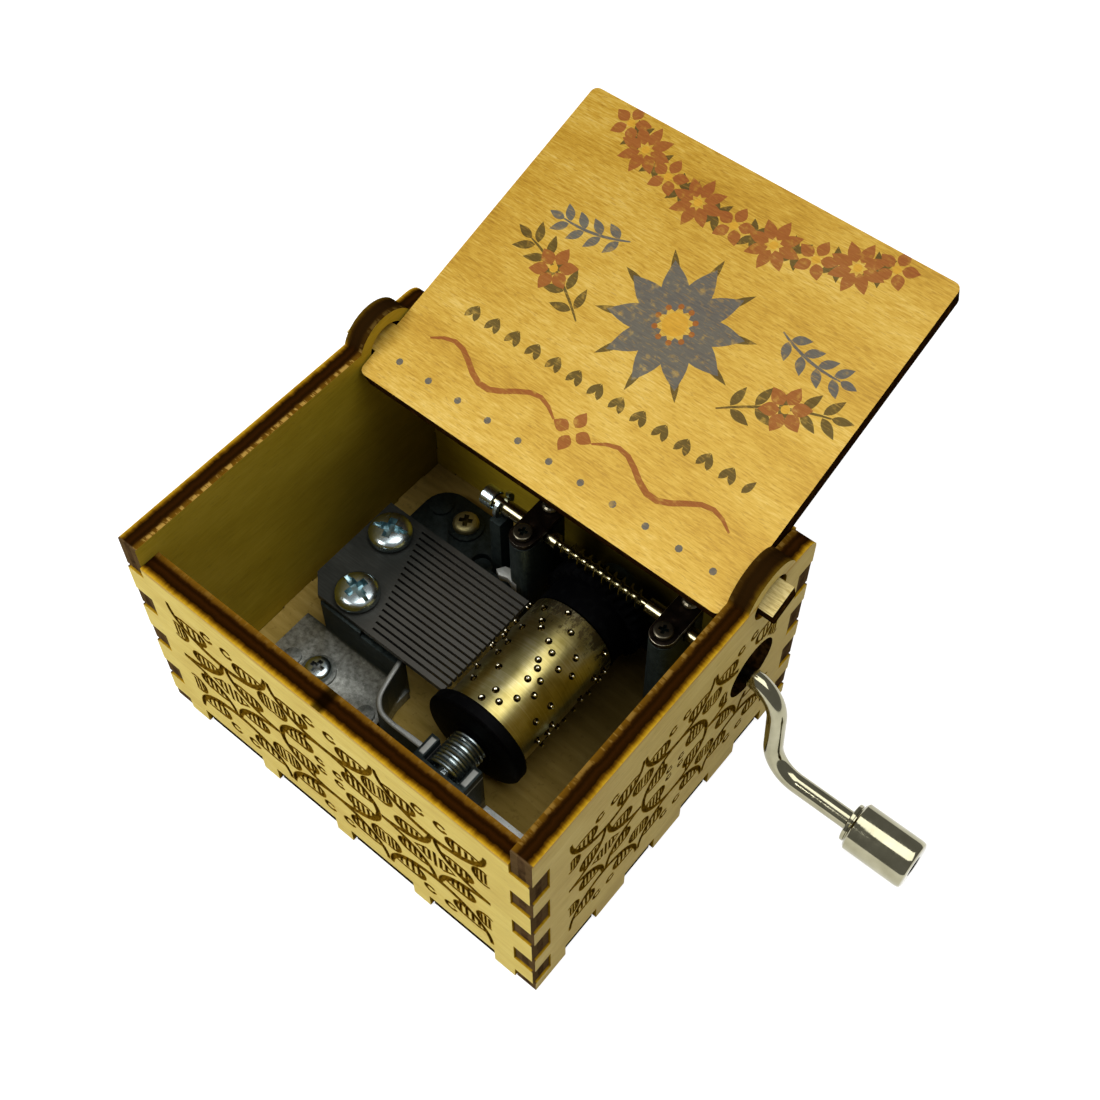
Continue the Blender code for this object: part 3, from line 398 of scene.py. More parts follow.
def push_in(bm, faces, step, keep=False):
    """Extrude faces and move the new ones by a step. Gives the new faces."""
    grown = bmesh.ops.extrude_face_region(bm, geom=faces, use_keep_orig=keep)["geom"]
    moved = [g for g in grown if isinstance(g, bmesh.types.BMVert)]
    bmesh.ops.translate(bm, verts=moved, vec=step)
    return [g for g in grown if isinstance(g, bmesh.types.BMFace)]


def thicken(bm, out, thickness):
    """Give a flat face its thickness; the far side is left without shapes."""
    for face in push_in(bm, list(bm.faces), out * -thickness, True):
        face.material_index = 0
    bmesh.ops.recalc_face_normals(bm, faces=bm.faces)


def sink_ends(bm, axis, end, sunk):
    """Move what ends at a distance from the middle of an axis towards the middle."""
    for vert in bm.verts:
        if abs(vert.co[axis]) > end - 0.1 * MM:
            vert.co[axis] = math.copysign(end - sunk, vert.co[axis])


def add_piece(bm, name, body, node, slot, *finishes, smooth=None):
    """Make a piece that takes a CAD node's place and moves with its body."""
    mesh = bpy.data.meshes.new(name)
    bm.to_mesh(mesh)
    bm.free()
    for finish in finishes:
        mesh.materials.append(finish)
    if smooth:
        mesh.shade_smooth()
        mesh.set_sharp_from_angle(angle=math.radians(smooth))
    item = bpy.data.objects.new(name, mesh)
    bpy.context.scene.collection.objects.link(item)
    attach(item, body)
    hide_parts(node)
    return item


PLY = 3.0 * MM
SIDE_TOP = 39.05 * MM
BACK_TOP = 37.55 * MM
FRONT_TOP = 35.65 * MM
WELD = 0.002 * MM
FLUSH = 0.001 * MM
GROOVE_DEPTH = 0.32 * MM
HALO = 0.1
# Painted shade on the inner faces: the back wall darker towards +x, the left wall darker low down and
# towards the back.
PAINTED_SHADE = {
    "back_wall": lambda wood: wood.x.above(-0.016, 0.0) * 0.8,
    "left_wall": lambda wood: wood.y.above(-0.014, 0.008) * (1 - wood.z.above(0.016, 0.034)) * 0.5,
}
groove_finish = burnt_groove("scorched_groove", "523806", "866414")
halo_finish = burnt_groove("browned_rim", "a8842c", "c8a850")
pale = ("eed878", "e3ca66", "d4b656")
# The right wall's outer face takes darker tints than the other outer faces: painted shade.
painted_shade_right = ("dcc470", "cfb45e", "bfa04e")
# Every inner face takes darker tints than the outer faces: painted shade.
painted_shade_tints = ("b99f30", "ab9222", "9b8216")
TICKED = {"front_wall": 0.12, "back_wall": 0.3, "left_wall": 0.9, "right_wall": 0.35}
WALLS = {
    "front_wall": (Vector((0, -1, 0)), Vector((1, 0, 0)), 17.1, (31.6, 25.0, 12.0, 4.9)),
    "back_wall": (Vector((0, 1, 0)), Vector((-1, 0, 0)), 17.1, (31.6, 25.0, 12.0, 4.9)),
    "left_wall": (Vector((-1, 0, 0)), Vector((0, -1, 0)), 13.45, (32.7, 26.3, 13.3, 6.8)),
    "right_wall": (Vector((1, 0, 0)), Vector((0, 1, 0)), 13.45, (32.7, 26.3, 13.3, 6.8)),
}
CRANK_HOLE = Vector((15.5, 22.3))
CRANK_HOLE_CLEAR = 4.75
FINGER_SUNK = 0.25 * MM
charred = burnt_groove("charred_hole", "100802", "2a1a08")
for node, (out, across, pitch, levels) in WALLS.items():
    shapes = scrollwork(pitch, *levels)
    if node == "right_wall":
        shapes = [part for s in shapes for part in clear_of(s, CRANK_HOLE, CRANK_HOLE_CLEAR)]
    rims = [widened(shape, HALO) for shape in shapes]
    bm, level = divide_face(node, out, across, [(1, rims), (2, shapes)])
    thicken(bm, out, PLY)
    carved = [f for f in bm.faces if f.material_index == 2 and abs(f.normal.dot(out)) > 0.9
              and f.calc_center_median().dot(out) > level - FLUSH]
    push_in(bm, carved, out * -GROOVE_DEPTH)
    bmesh.ops.delete(bm, geom=carved, context="FACES")
    for face in bm.faces:
        flat = abs(face.normal.dot(out)) > 0.9
        lowest = min(v.co.dot(out) for v in face.verts)
        if lowest > level - FLUSH:
            face.material_index = min(face.material_index, 1)
        elif lowest > level - GROOVE_DEPTH * 1.5:
            face.material_index = 2
        else:
            face.material_index = 3 if flat else 4
            around = Vector(face.calc_center_median().yz) / MM - CRANK_HOLE
            if node == "right_wall" and face.material_index == 4 and around.length < CRANK_HOLE_CLEAR:
                face.material_index = 5
    bmesh.ops.recalc_face_normals(bm, faces=bm.faces)
    side_wall = abs(out.x) > 0.5
    top = SIDE_TOP if side_wall else BACK_TOP if out.y > 0 else FRONT_TOP
    axis = 1 if side_wall else 0
    end = HALF_DEPTH if side_wall else HALF_WIDTH
    sink_ends(bm, axis, end, FINGER_SUNK)
    # The right outer face and every inner face take the painted-shade tints.
    face_finish = ply_face(node + "_outer", axis, *(painted_shade_right if node == "right_wall" else pale), top)
    inner_finish = ply_face(node + "_inner", axis, *painted_shade_tints, shade=PAINTED_SHADE.get(node))
    thick = 0 if side_wall else 1
    edge_finish = ply_edge(node + "_edge", thick, out[thick] * (level - PLY / 2), out[thick], axis,
                           end - FINGER_SUNK, top if side_wall else None, TICKED[node],
                           burn=node == "front_wall")
    add_piece(bm, node + "_board", "case", node, "birch_ply", face_finish, halo_finish, groove_finish,
              inner_finish, edge_finish, charred)


# Base plate: a plain board of the same ply. Its tabs are glued in the walls' feet and end a
# little below the walls' faces, with charred ends; the sanded face is olive.
floor_ply = Finish("base_ply", Specular_IOR_Level=0.0)
fibres = floor_ply.noise(grain_scale(0, 120, 900), 4.0, 0.6)
speckle = floor_ply.noise((1500, 1500, 1500), 2.0).above(0.6, 0.72)
color = floor_ply.ramp(fibres, (0.3, "9c8440"), (0.5, "ac924c"), (0.7, "bca25a"))
color = floor_ply.mix(speckle * 0.3, color, "6a5424")
# Painted shade: the floor darker towards +x.
color = floor_ply.mix(floor_ply.x.above(-0.008, 0.02) * 0.3, color, "54421c")
# Painted shadow: a dark patch right of the cylinder, towards the back.
painted_shadow = floor_ply.x.above(0.0, 0.012) * floor_ply.y.above(-0.016, 0.008)
color = floor_ply.mix(painted_shadow * 0.8, color, "1c1508")
tab_ends = abs(floor_ply.x).above(0.0313, 0.0314).most(abs(floor_ply.y).above(0.0260, 0.0261))
floor_ply.feed("Base Color", floor_ply.mix(tab_ends, color, "1c1208"))
floor_ply.feed("Roughness", 0.7 - fibres * 0.15)
floor_ply.relief(fibres, 0.00003)


def copy_of(node):
    """A copy of a CAD piece with its loose triangles merged into plain faces."""
    bm = bmesh.new()
    bm.from_mesh(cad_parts[node].data)
    bmesh.ops.remove_doubles(bm, verts=bm.verts, dist=WELD)
    bmesh.ops.dissolve_limit(bm, angle_limit=math.radians(1), verts=bm.verts, edges=bm.edges)
    return bm


TAB_SUNK = 0.5 * MM
bm = copy_of("base_plate")
sink_ends(bm, 0, HALF_WIDTH, TAB_SUNK)
sink_ends(bm, 1, HALF_DEPTH, TAB_SUNK)
add_piece(bm, "base_board", "case", "base_plate", "birch_ply", floor_ply.material)


# Lid: one board of the same ply that turns on two tongues left on its sides. Its inner face
# carries a flat print, here of flowers and leaves; its edges are charred.
LID_OPEN = math.radians(-162.6)
LID_PIVOT = Vector((0, 16.9, 37.35)) * MM
LID_THICKNESS = 2.9 * MM
TONGUE_END = 33.0 * MM
TONGUE_MORE = 0.9 * MM
lid_out = Matrix.Rotation(LID_OPEN, 3, "X") @ Vector((0, 0, -1))
lid_up = Matrix.Rotation(LID_OPEN, 3, "X") @ Vector((0, -1, 0))


def petal(cu, cv, length, wide, degrees, start=0.0):
    """Pointed leaf that grows from a point in one direction."""
    a = math.radians(degrees)
    along, side = Vector((math.cos(a), math.sin(a))), Vector((-math.sin(a), math.cos(a)))
    root = Vector((cu, cv)) + along * start
    swell = [(t / 8, math.sin(math.pi * (t / 8) ** 0.8) * wide / 2) for t in range(9)]
    one = [root + along * length * t + side * w for t, w in swell]
    two = [root + along * length * t - side * w for t, w in swell[1:-1]]
    return one + two[::-1]


def flower(cu, cv, radius, count, wide):
    return [petal(cu, cv, radius * 0.8, wide, 90 + 360 * k / count, radius * 0.2) for k in range(count)]


def sprig(path, length, wide, stalk=0.45):
    """A stalk with leaves on both sides."""
    shapes = [brush(path, stalk, stalk * 0.5)]
    for k in range(1, len(path) - 1, 2):
        along = path[k + 1] - path[k - 1]
        heading = math.degrees(math.atan2(along.y, along.x))
        for side in (-1, 1):
            shapes.append(petal(path[k].x, path[k].y, length, wide, heading + side * 48, 0.3))
    shapes.append(petal(path[-1].x, path[-1].y, length * 0.9, wide * 0.9, heading, 0.0))
    return shapes


def row_of_leaves(u0, u1, cv, count, length, wide):
    places = [u0 + (u1 - u0) * k / (count - 1) for k in range(count)]
    return [petal(u, cv - length / 2, length, wide, 110 if k % 2 else 70) for k, u in enumerate(places)]


russet, blue, olive, ochre = [], [], [], []
garland = oval(0, 52.0, 26.5, 14.5, 205, 335, 20)
for k in range(2, 19, 2):
    p = garland[k]
    russet += flower(p.x, p.y, 3.0 if k % 4 else 3.9, 5 if k % 4 else 8, 1.7)
    ochre.append(oval(p.x, p.y, 0.6, 0.6, 0, 324, 9))
for k in range(3, 19, 2):
    p = garland[k]
    olive += [petal(p.x, p.y, 2.6, 1.1, a) for a in (60, 120, 240, 300)]
STAR = (2.0, 22.0)
blue += flower(*STAR, 9.2, 10, 3.6)
olive += [petal(*STAR, 4.4, 1.1, 18 + 36 * k, 6.4) for k in range(10)]
ochre.append(oval(*STAR, 1.7, 1.7, 0, 342, 19))
russet += [oval(*p, 0.42, 0.42, 0, 315, 7) for p in oval(*STAR, 2.6, 2.6, 0, 324, 9)]
for side in (-1, 1):
    stem = [Vector((2 + side * (11 + 1.25 * k), 15.5 + 1.0 * k - 0.035 * k * k)) for k in range(11)]
    olive += sprig(stem, 3.2, 1.3)
    stem = [Vector((2 + side * (12 + 1.2 * k), 28.5 - 0.55 * k + 0.04 * k * k)) for k in range(9)]
    blue += sprig(stem, 2.7, 1.3)
    russet += flower(2 + side * 18.2, 20.0, 3.4, 6, 1.9)
    ochre.append(oval(2 + side * 18.2, 20.0, 0.6, 0.6, 0, 324, 9))
    wave = [Vector((side * (3 + 1.6 * k), 3.2 + 1.5 * math.sin(k * 0.72))) for k in range(14)]
    russet.append(brush(wave, 0.9, 0.3))
olive += row_of_leaves(-22, 22, 9.4, 27, 2.3, 1.0)
russet += flower(0, 3.2, 3.0, 4, 1.8)
blue += [oval(-25 + 50 * k / 10, -1.6, 0.5, 0.5, 0, 315, 7) for k in range(11)]


def lid_wood(name, ink=None, cover=0.0):
    """Golden veneer along the lid's width, with an ink printed into it where one is given."""
    wood = Finish(name, Specular_IOR_Level=0.15)
    fibres = wood.noise(grain_scale(0, 520, 4600), 4.0, 0.65)
    streaks = wood.noise(grain_scale(0, 45, 130), 4.0, 0.6)
    flecks = wood.noise(grain_scale(0, 900, 5600), 1.0).above(0.6, 0.7)
    color = wood.ramp(fibres * 0.55 + streaks * 0.45, (0.32, "9c701a"), (0.44, "c0942c"),
                      (0.54, "d2ab44"), (0.68, "e8ca72"))
    color = wood.mix(flecks * 0.4, color, "8e6014")
    # Painted light and shade: the lid lighter towards +x and its hinge, darker towards -x and its far edge.
    painted_light_sweep = (wood.x * 17 - (wood.y - 0.038) * 22).above(-1.0, 1.0)
    color = wood.mix(0.2, color, wood.mix(painted_light_sweep, "6e4606", "f4cc70"))
    tongue = abs(wood.x).above(0.0300, 0.0318)
    color = wood.mix(tongue * 0.8, color, wood.ramp(fibres, (0.35, "b8a25a"), (0.6, "ecdc9c")))
    if ink:
        worn = 1 - flecks * 0.35 - wood.noise((900, 900, 900), 3.0).above(0.55, 0.75) * 0.4
        thick, thin = (tuple(min(1, c * share) for c in tint(ink)) for share in (0.75, 1.3))
        color = wood.mix(worn * cover, color, wood.mix(fibres, thick, thin))
    wood.feed("Base Color", color)
    wood.feed("Roughness", 0.55 - fibres * 0.15)
    wood.relief(fibres, 0.00002)
    return wood.material


lid_edge = Finish("lid_edge", Specular_IOR_Level=0.0)
soot = lid_edge.noise((900, 900, 900), 3.0, 0.6)
lid_color = lid_edge.ramp(soot, (0.3, "140a02"), (0.6, "2e1a06"), (0.8, "5a3a0e"))
lid_edge.feed("Base Color", lid_color)
lid_edge.feed("Roughness", 0.5 + soot * 0.2)
lid_edge.relief(soot, 0.00005)

pivot = Vector((0, LID_PIVOT.dot(lid_up) / MM))
prints = [(k, [[p + pivot for p in shape] for shape in shapes])
          for k, shapes in enumerate((olive, blue, russet, ochre), 1)]
bm, level = divide_face("lid", lid_out, lid_out.cross(lid_up) * -1, prints)
thicken(bm, lid_out, LID_THICKNESS)
for face in bm.faces:
    if abs(face.normal.dot(lid_out)) < 0.9:
        face.material_index = 5
sink_ends(bm, 0, TONGUE_END, -TONGUE_MORE)
add_piece(bm, "lid_board", "lid", "lid", "lid_ply",
          lid_wood("lid_wood"), lid_wood("print_olive", "3a3018", 0.85),
          lid_wood("print_blue", "3f4c56", 0.85), lid_wood("print_russet", "8a4420", 0.85),
          lid_wood("print_ochre", "c8952c", 0.8), lid_edge.material)


# Movement frame: one zinc casting, screwed to the base. It carries the comb's seat, a thin
# curved rib, the fork of the arbor and the stands of the crank shaft.
def round_over(bm, edges, width, segments, worn=-1):
    """Bevel edges; worn is the number of the bevels' finish."""
    bmesh.ops.bevel(bm, geom=edges, offset=width, offset_type="OFFSET", segments=segments,
                    profile=0.5, affect="EDGES", clamp_overlap=True, material=worn)


def soften(bm, width, segments=2, worn=-1):
    """Round all edges that turn by more than 40 degrees."""
    edges = [e for e in bm.edges
             if len(e.link_faces) == 2 and e.calc_face_angle() > math.radians(40)]
    round_over(bm, edges, width, segments, worn)


cast_zinc = Finish("cast_zinc", Metallic=0.7, Specular_IOR_Level=0.4)
mottle = cast_zinc.noise((1300, 1300, 1300), 6.0, 0.75)
pits = cast_zinc.noise((3200, 3200, 3200), 2.0)
x, y, z = cast_zinc.x, cast_zinc.y, cast_zinc.z
# Painted light and shade on the one zinc: the low front plate takes the light mottled tone, the rest of the
# casting the dark one.
low = 1 - z.above(0.0052, 0.0062)
front = 1 - y.above(-0.009, -0.0075)
plate = cast_zinc.ramp(mottle, (0.3, "62645e"), (0.48, "94968e"),
                       (0.62, "b4b6ae"), (0.74, "dcded6"))
dark = cast_zinc.ramp(mottle, (0.3, "1c2423"), (0.7, "3a4442"))
# Painted highlights: the ear, the rib's crest, the fork's lug tops and the front lip are made lighter.
ear = y.above(0.0088, 0.0090) * (1 - y.above(0.0122, 0.0124))
ear *= z.above(0.0104, 0.0108) * (1 - z.above(0.0128, 0.013))
ear *= 1 - x.above(-0.0022, -0.0020)
rib = z.above(0.01205, 0.0122) * (1 - z.above(0.0124, 0.0126))
rib *= front * x.above(-0.0078, -0.0074)
lug = y.above(-0.0164, -0.0161) * (1 - y.above(-0.0139, -0.0137))
lug *= 1 - abs(abs(x - 0.00845) - 0.0035).above(0.0003, 0.00045)
lug *= z.above(0.0135, 0.0138)
lip = z.above(0.00512, 0.00518) * (1 - z.above(0.0054, 0.0055))
lip *= front * x.above(0.0128, 0.0132)
casting = cast_zinc.mix(low * front, dark, plate)
casting = cast_zinc.mix(lip * 0.9, casting, "f6fcfc")
casting = cast_zinc.mix(rib, casting, "a2a49f")
cast_zinc.feed("Base Color", cast_zinc.mix(ear.most(lug), casting, "c8cac4"))
cast_zinc.feed("Roughness", 0.34 + mottle * 0.25 - lip * 0.16)
cast_zinc.relief(mottle * 0.6 + pits * 0.4 + lip * mottle * 2.2, 0.00008)
bm = copy_of("movement_frame")
LIP_LOW = Vector((13.2, -16.0, 3.4)) * MM
LIP_HIGH = Vector((21.6, -13.75, 5.3)) * MM
spot = Matrix.Translation((LIP_LOW + LIP_HIGH) / 2) @ Matrix.Diagonal((*(LIP_HIGH - LIP_LOW), 1))
bmesh.ops.create_cube(bm, size=1, matrix=spot)
RIB_LEFT = -7.8 * MM
RIB_BACK = -7.5 * MM
RIB_TOP = 12.3 * MM
crest = [e for e in bm.edges
         if all(v.co.x > RIB_LEFT and v.co.y < RIB_BACK and abs(v.co.z - RIB_TOP) < 1e-5
                for v in e.verts)]
round_over(bm, crest, 0.3 * MM, 3)
soften(bm, 0.12 * MM)
add_piece(bm, "zinc_casting", "case", "movement_frame", "cast_zinc", cast_zinc.material, smooth=40)


# Comb: one ground steel plate, sawn into eighteen teeth and screwed down on its seat.
# Grinding leaves fine lines across the teeth and bright arrises.
comb_steel = Finish("ground_steel", Metallic=0.75, Specular_IOR_Level=0.5)
lines = comb_steel.noise((400, 5200, 5200), 3.0, 0.6)
haze = comb_steel.noise((160, 160, 160), 3.0)
ground = comb_steel.ramp(lines * 0.4 + haze * 0.6, (0.3, "2a2c28"), (0.5, "383a36"),
                         (0.7, "484a46"))
teeth = comb_steel.x.above(-0.017, -0.010)
comb_steel.feed("Base Color", comb_steel.mix(teeth * 0.6, ground, "65625b"))
comb_steel.feed("Roughness", 0.4 + haze * 0.15)
comb_steel.relief(lines, 0.00001)
bm = copy_of("comb")
soften(bm, 0.06 * MM, segments=1)
add_piece(bm, "tuned_comb", "case", "comb", "comb_steel", comb_steel.material)


# Screws: machine screws with domed heads hold the comb, small wood screws hold the casting.
# Each head has a stamped cross; the plating is bright zinc, yellow on the one at the back.
def turned(bm, profile, origin, axis, steps, side=None):
    """Spin a profile of (distance along the axis, radius) into a closed body."""
    along = Vector(axis).normalized()
    side = side or (Vector((0, 0, 1)) if abs(along.z) < 0.5 else Vector((1, 0, 0)))
    verts = [bm.verts.new(Vector(origin) + along * t + side * r) for t, r in profile]
    edges = [bm.edges.new((a, b)) for a, b in zip(verts, verts[1:])]
    if profile[0][1] > 0 and profile[-1][1] > 0:
        edges.append(bm.edges.new((verts[-1], verts[0])))
    bmesh.ops.spin(bm, geom=verts + edges, cent=origin, axis=along, angle=2 * math.pi, steps=steps,
                   use_merge=True)
    bmesh.ops.remove_doubles(bm, verts=bm.verts, dist=1e-7)
    bmesh.ops.recalc_face_normals(bm, faces=bm.faces)


def plated(name, dark, light, roughness, scale=900, painted_dark_rim=None):
    """Bright plating with faint clouds and fine scratches, darkened below a height where one is given:
    painted shade.
    """
    metal = Finish(name, Metallic=1.0)
    clouds = metal.noise((scale, scale, scale), 3.0)
    marks = metal.noise((scale * 4, scale * 0.6, scale * 0.6), 2.0)
    color = metal.mix(clouds, dark, light)
    # Painted shade on the rim of a screw head.
    if painted_dark_rim:
        color = metal.mix((1 - metal.z.above(*painted_dark_rim)) * 0.85, color, "343c3e")
    metal.feed("Base Color", color)
    metal.feed("Roughness", roughness + (marks - 0.5) * 0.16)
    metal.relief(marks, 0.000006)
    return metal.material


def cut_from(piece, tool, recess):
    """Take a tool's shape out of a piece with one exact Boolean."""
    mesh = bpy.data.meshes.new("tool")
    tool.to_mesh(mesh)
    tool.free()
    mesh.materials.append(recess)
    cutter = bpy.data.objects.new("tool", mesh)
    bpy.context.scene.collection.objects.link(cutter)
    step = piece.modifiers.new("cut", "BOOLEAN")
    step.operation = "DIFFERENCE"
    step.solver = "EXACT"
    step.object = cutter
    step.material_mode = "TRANSFER"
    bpy.context.view_layer.update()
    graph = bpy.context.evaluated_depsgraph_get()
    result = bpy.data.meshes.new_from_object(piece.evaluated_get(graph))
    piece.modifiers.clear()
    piece.data = result
    bpy.data.objects.remove(cutter, do_unlink=True)


def crossed_screw(node, slot, finish, recess, sizes, turn, slotted=False, flat=False):
    """Domed or flat head with a stamped cross, set on the CAD screw's own place.

    The sizes are the head's radius and height and the shank's radius, in millimetres."""
    head, height, shank = (size * MM for size in sizes)
    low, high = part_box(node)
    mid = (low + high) / 2
    top = high.z
    under = top - height
    rim = 0.24 * height
    profile = [(low.z, 0), (low.z, shank), (under - 0.01 * MM, shank), (under, head * 0.93),
               (under + rim * 0.4, head * 0.99), (under + rim, head)]
    if flat:
        profile += [(top - 0.15 * height, head), (top - 0.03 * height, head * 0.92),
                    (top, head * 0.84), (top, 0)]
    else:
        profile += [(under + rim + (height - rim) * math.sin(math.radians(a)),
                     head * (0.38 + 0.62 * math.cos(math.radians(a)) ** 0.8)) for a in (18, 36, 54, 72)]
        profile += [(top, head * 0.36), (top, 0)]
    bm = bmesh.new()
    turned(bm, profile, (mid.x, mid.y, 0), (0, 0, 1), 48)
    piece = add_piece(bm, node + "_turned", "case", node, slot, finish)
    blades = [(0.66 * head, 0.23 * head, 0.62 * height, angle) for angle in (turn, turn + math.pi / 2)]
    if slotted:
        blades.append((1.2 * head, 0.13 * head, 0.34 * height, turn))
    for half_length, half_width, depth, angle in blades:
        tool = bmesh.new()
        spot = Matrix.Translation((mid.x, mid.y, top)) @ Matrix.Rotation(angle, 4, "Z")
        stretch = Matrix.Diagonal((half_length, half_width, depth, 1))
        bmesh.ops.create_cube(tool, size=2, matrix=spot @ stretch)
        floor_verts = [v for v in tool.verts if v.co.z < top]
        bmesh.ops.scale(tool, verts=floor_verts, vec=(0.55, 0.55, 1), space=spot.inverted())
        cut_from(piece, tool, recess)
    piece.data.shade_smooth()
    piece.data.set_sharp_from_angle(angle=math.radians(35))


bright_zinc = plated("bright_zinc", "a2b4b8", "e6f2f4", 0.24)
# The comb screws' heads are darker round their rims: painted shade.
comb_zinc = plated("comb_screw_zinc", "a2b4b8", "e6f2f4", 0.24, painted_dark_rim=(0.0138, 0.0147))
# The recess finishes are darker than the heads' plating: painted shade in the stamped crosses.
blue_recess = plated("blue_recess", "4e7882", "c6dee2", 0.3)
yellow_recess = plated("yellow_recess", "4a4222", "6e6438", 0.5)
grey_recess = plated("grey_recess", "5c605e", "a0a4a2", 0.35)
yellow_zinc = plated("yellow_zinc", "9c9060", "cfc48c", 0.5)
COMB_SCREW = (3.15, 1.7, 1.2)
WOOD_SCREW = (1.95, 1.1, 0.9)
crossed_screw("comb_screw_back", "zinc_plate", comb_zinc, blue_recess, COMB_SCREW, 0.35, True)
crossed_screw("comb_screw_front", "zinc_plate", comb_zinc, blue_recess, COMB_SCREW, -0.2, True)
crossed_screw("mount_screw_back", "brassed_steel", yellow_zinc, yellow_recess, WOOD_SCREW, 0.5)
crossed_screw("mount_screw_front", "zinc_plate", bright_zinc, grey_recess, WOOD_SCREW, 0.1)
crossed_screw("mount_screw_right", "zinc_plate", bright_zinc, grey_recess, WOOD_SCREW, 0.9)


# Pinned cylinder: a turned brass sleeve with steel pins set in eighteen tracks. A black flange
# closes its front, a black moulded gear its back, and both turn with it round the arbor.
CYL_X = 8.45 * MM
CYL_Z = 12.3 * MM
CYL_RADIUS = 6.45 * MM
CYL_FRONT = -8.5 * MM
CYL_BACK = 9.6 * MM
PIN_HEIGHT = 0.6 * MM
PIN_RADIUS = 0.24 * MM
PIN_COUNT = 84
ARBOR_RADIUS = 1.3 * MM
COMB_BACK = 9.2 * MM
COMB_FRONT = -7.96 * MM
TRACKS = 18


def pin_places():
    """Angle and track of each pin, in the order of the CAD part."""
    rng = random.Random(18)
    pitch = (COMB_BACK - COMB_FRONT) / TRACKS
    used = {}
    places = []
    while len(places) < PIN_COUNT:
        beat = rng.randrange(60)
        track = rng.randrange(TRACKS)
        taken = used.setdefault(track, [])
        if all(min((beat - b) % 60, (b - beat) % 60) > 5 for b in taken):
            if (beat, track - 1) in places or (beat, track + 1) in places:
                continue
            taken.append(beat)
            places.append((beat, track))
    return [(math.radians(6 * beat + 1.5), COMB_FRONT + (track + 0.5) * pitch) for beat, track in places]


brass = Finish("turned_brass", Metallic=1.0)
rings = brass.noise((60, 5200, 60), 3.0, 0.6)
tarnish = brass.noise((260, 260, 260), 3.0)
color = brass.ramp(tarnish * 0.7 + rings * 0.3, (0.3, "968848"), (0.5, "bfb274"),
                   (0.72, "e8e0b8"))
stain = brass.noise((1100, 500, 1100), 5.0, 0.75) + brass.y.above(0.0035, 0.0095) * 0.26
stain = stain.above(0.66, 0.78)
brass.feed("Base Color", brass.mix(stain * 0.85, color, "3a2a18"))
brass.feed("Roughness", 0.27 + tarnish * 0.06 + stain * 0.15)
brass.relief(rings, 0.00001)
bore = ARBOR_RADIUS + 0.15 * MM
bm = bmesh.new()
chamfer = 0.15 * MM
turned(bm, [(CYL_FRONT, bore), (CYL_FRONT, CYL_RADIUS - chamfer), (CYL_FRONT + chamfer, CYL_RADIUS),
            (CYL_BACK - chamfer, CYL_RADIUS), (CYL_BACK, CYL_RADIUS - chamfer), (CYL_BACK, bore)],
       (CYL_X, 0, CYL_Z), (0, 1, 0), 128)
PIN_PROFILE = [(0, 0), (0, PIN_RADIUS * 2.1), (0.17 * MM, PIN_RADIUS * 2.1),
               (0.2 * MM, PIN_RADIUS * 1.7), (0.3 * MM, PIN_RADIUS * 1.35),
               (PIN_HEIGHT * 0.9, PIN_RADIUS * 1.15), (PIN_HEIGHT * 1.1, PIN_RADIUS * 0.95),
               (PIN_HEIGHT * 1.2, PIN_RADIUS * 0.55), (PIN_HEIGHT * 1.25, 0)]
for angle, y in pin_places():
    outward = Vector((math.cos(angle), 0, math.sin(angle)))
    foot = Vector((CYL_X, y, CYL_Z)) + outward * (CYL_RADIUS - 0.15 * MM)
    known = len(bm.faces)
    turned(bm, PIN_PROFILE, foot, outward, 12, Vector((0, 1, 0)))
    bm.faces.ensure_lookup_table()
    for face in bm.faces[known:]:
        face.material_index = 1
pin_brass = Finish("pin_brass", Metallic=1.0, Roughness=0.16)
# Painted shade: each pin dark round its foot and sides, lighter towards its tip.
away = ((pin_brass.x - CYL_X) ** 2 + (pin_brass.z - CYL_Z) ** 2) ** 0.5
proud = away.above(CYL_RADIUS + 0.32 * MM, CYL_RADIUS + 0.6 * MM)
pin_brass.feed("Base Color", pin_brass.mix(proud, "2e240c", "f2ecd2"))
add_piece(bm, "pinned_sleeve", "cylinder", "pinned_cylinder", "brass", brass.material,
          pin_brass.material, smooth=35)

black = Finish("black_moulding", Specular_IOR_Level=0.06)
dust = black.noise((800, 800, 800), 4.0)
black.feed("Base Color", black.mix(dust.above(0.5, 0.8), "010102", "08090a"))
black.feed("Roughness", 0.5 + dust * 0.2)
black.relief(dust, 0.00002)
FLANGE_RADIUS = 7.6 * MM
FLANGE_BACK = CYL_FRONT - 0.15 * MM
FLANGE_FRONT = FLANGE_BACK - 2.2 * MM
bm = bmesh.new()
turned(bm, [(FLANGE_FRONT, bore), (FLANGE_FRONT, 3.1 * MM), (FLANGE_FRONT + 0.2 * MM, 3.3 * MM),
            (FLANGE_FRONT + 0.2 * MM, FLANGE_RADIUS - 0.6 * MM),
            (FLANGE_FRONT + 0.35 * MM, FLANGE_RADIUS - 0.2 * MM),
            (FLANGE_FRONT + 0.6 * MM, FLANGE_RADIUS), (FLANGE_BACK - 0.3 * MM, FLANGE_RADIUS),
            (FLANGE_BACK, FLANGE_RADIUS - 0.3 * MM), (FLANGE_BACK, bore)], (CYL_X, 0, CYL_Z), (0, 1, 0), 96)
add_piece(bm, "front_flange", "cylinder", "cylinder_flange", "black_plastic", black.material, smooth=35)
bm = copy_of("cylinder_gear")
add_piece(bm, "moulded_gear", "cylinder", "cylinder_gear", "black_plastic", black.material, smooth=30)


# Arbor and its spring: a steel pin through the cylinder, and a close wire spring that presses
# the flange back against the play of the worm.
def dress(node, finish):
    """Give a CAD piece its finish."""
    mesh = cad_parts[node].data
    mesh.materials.clear()
    mesh.materials.append(finish)


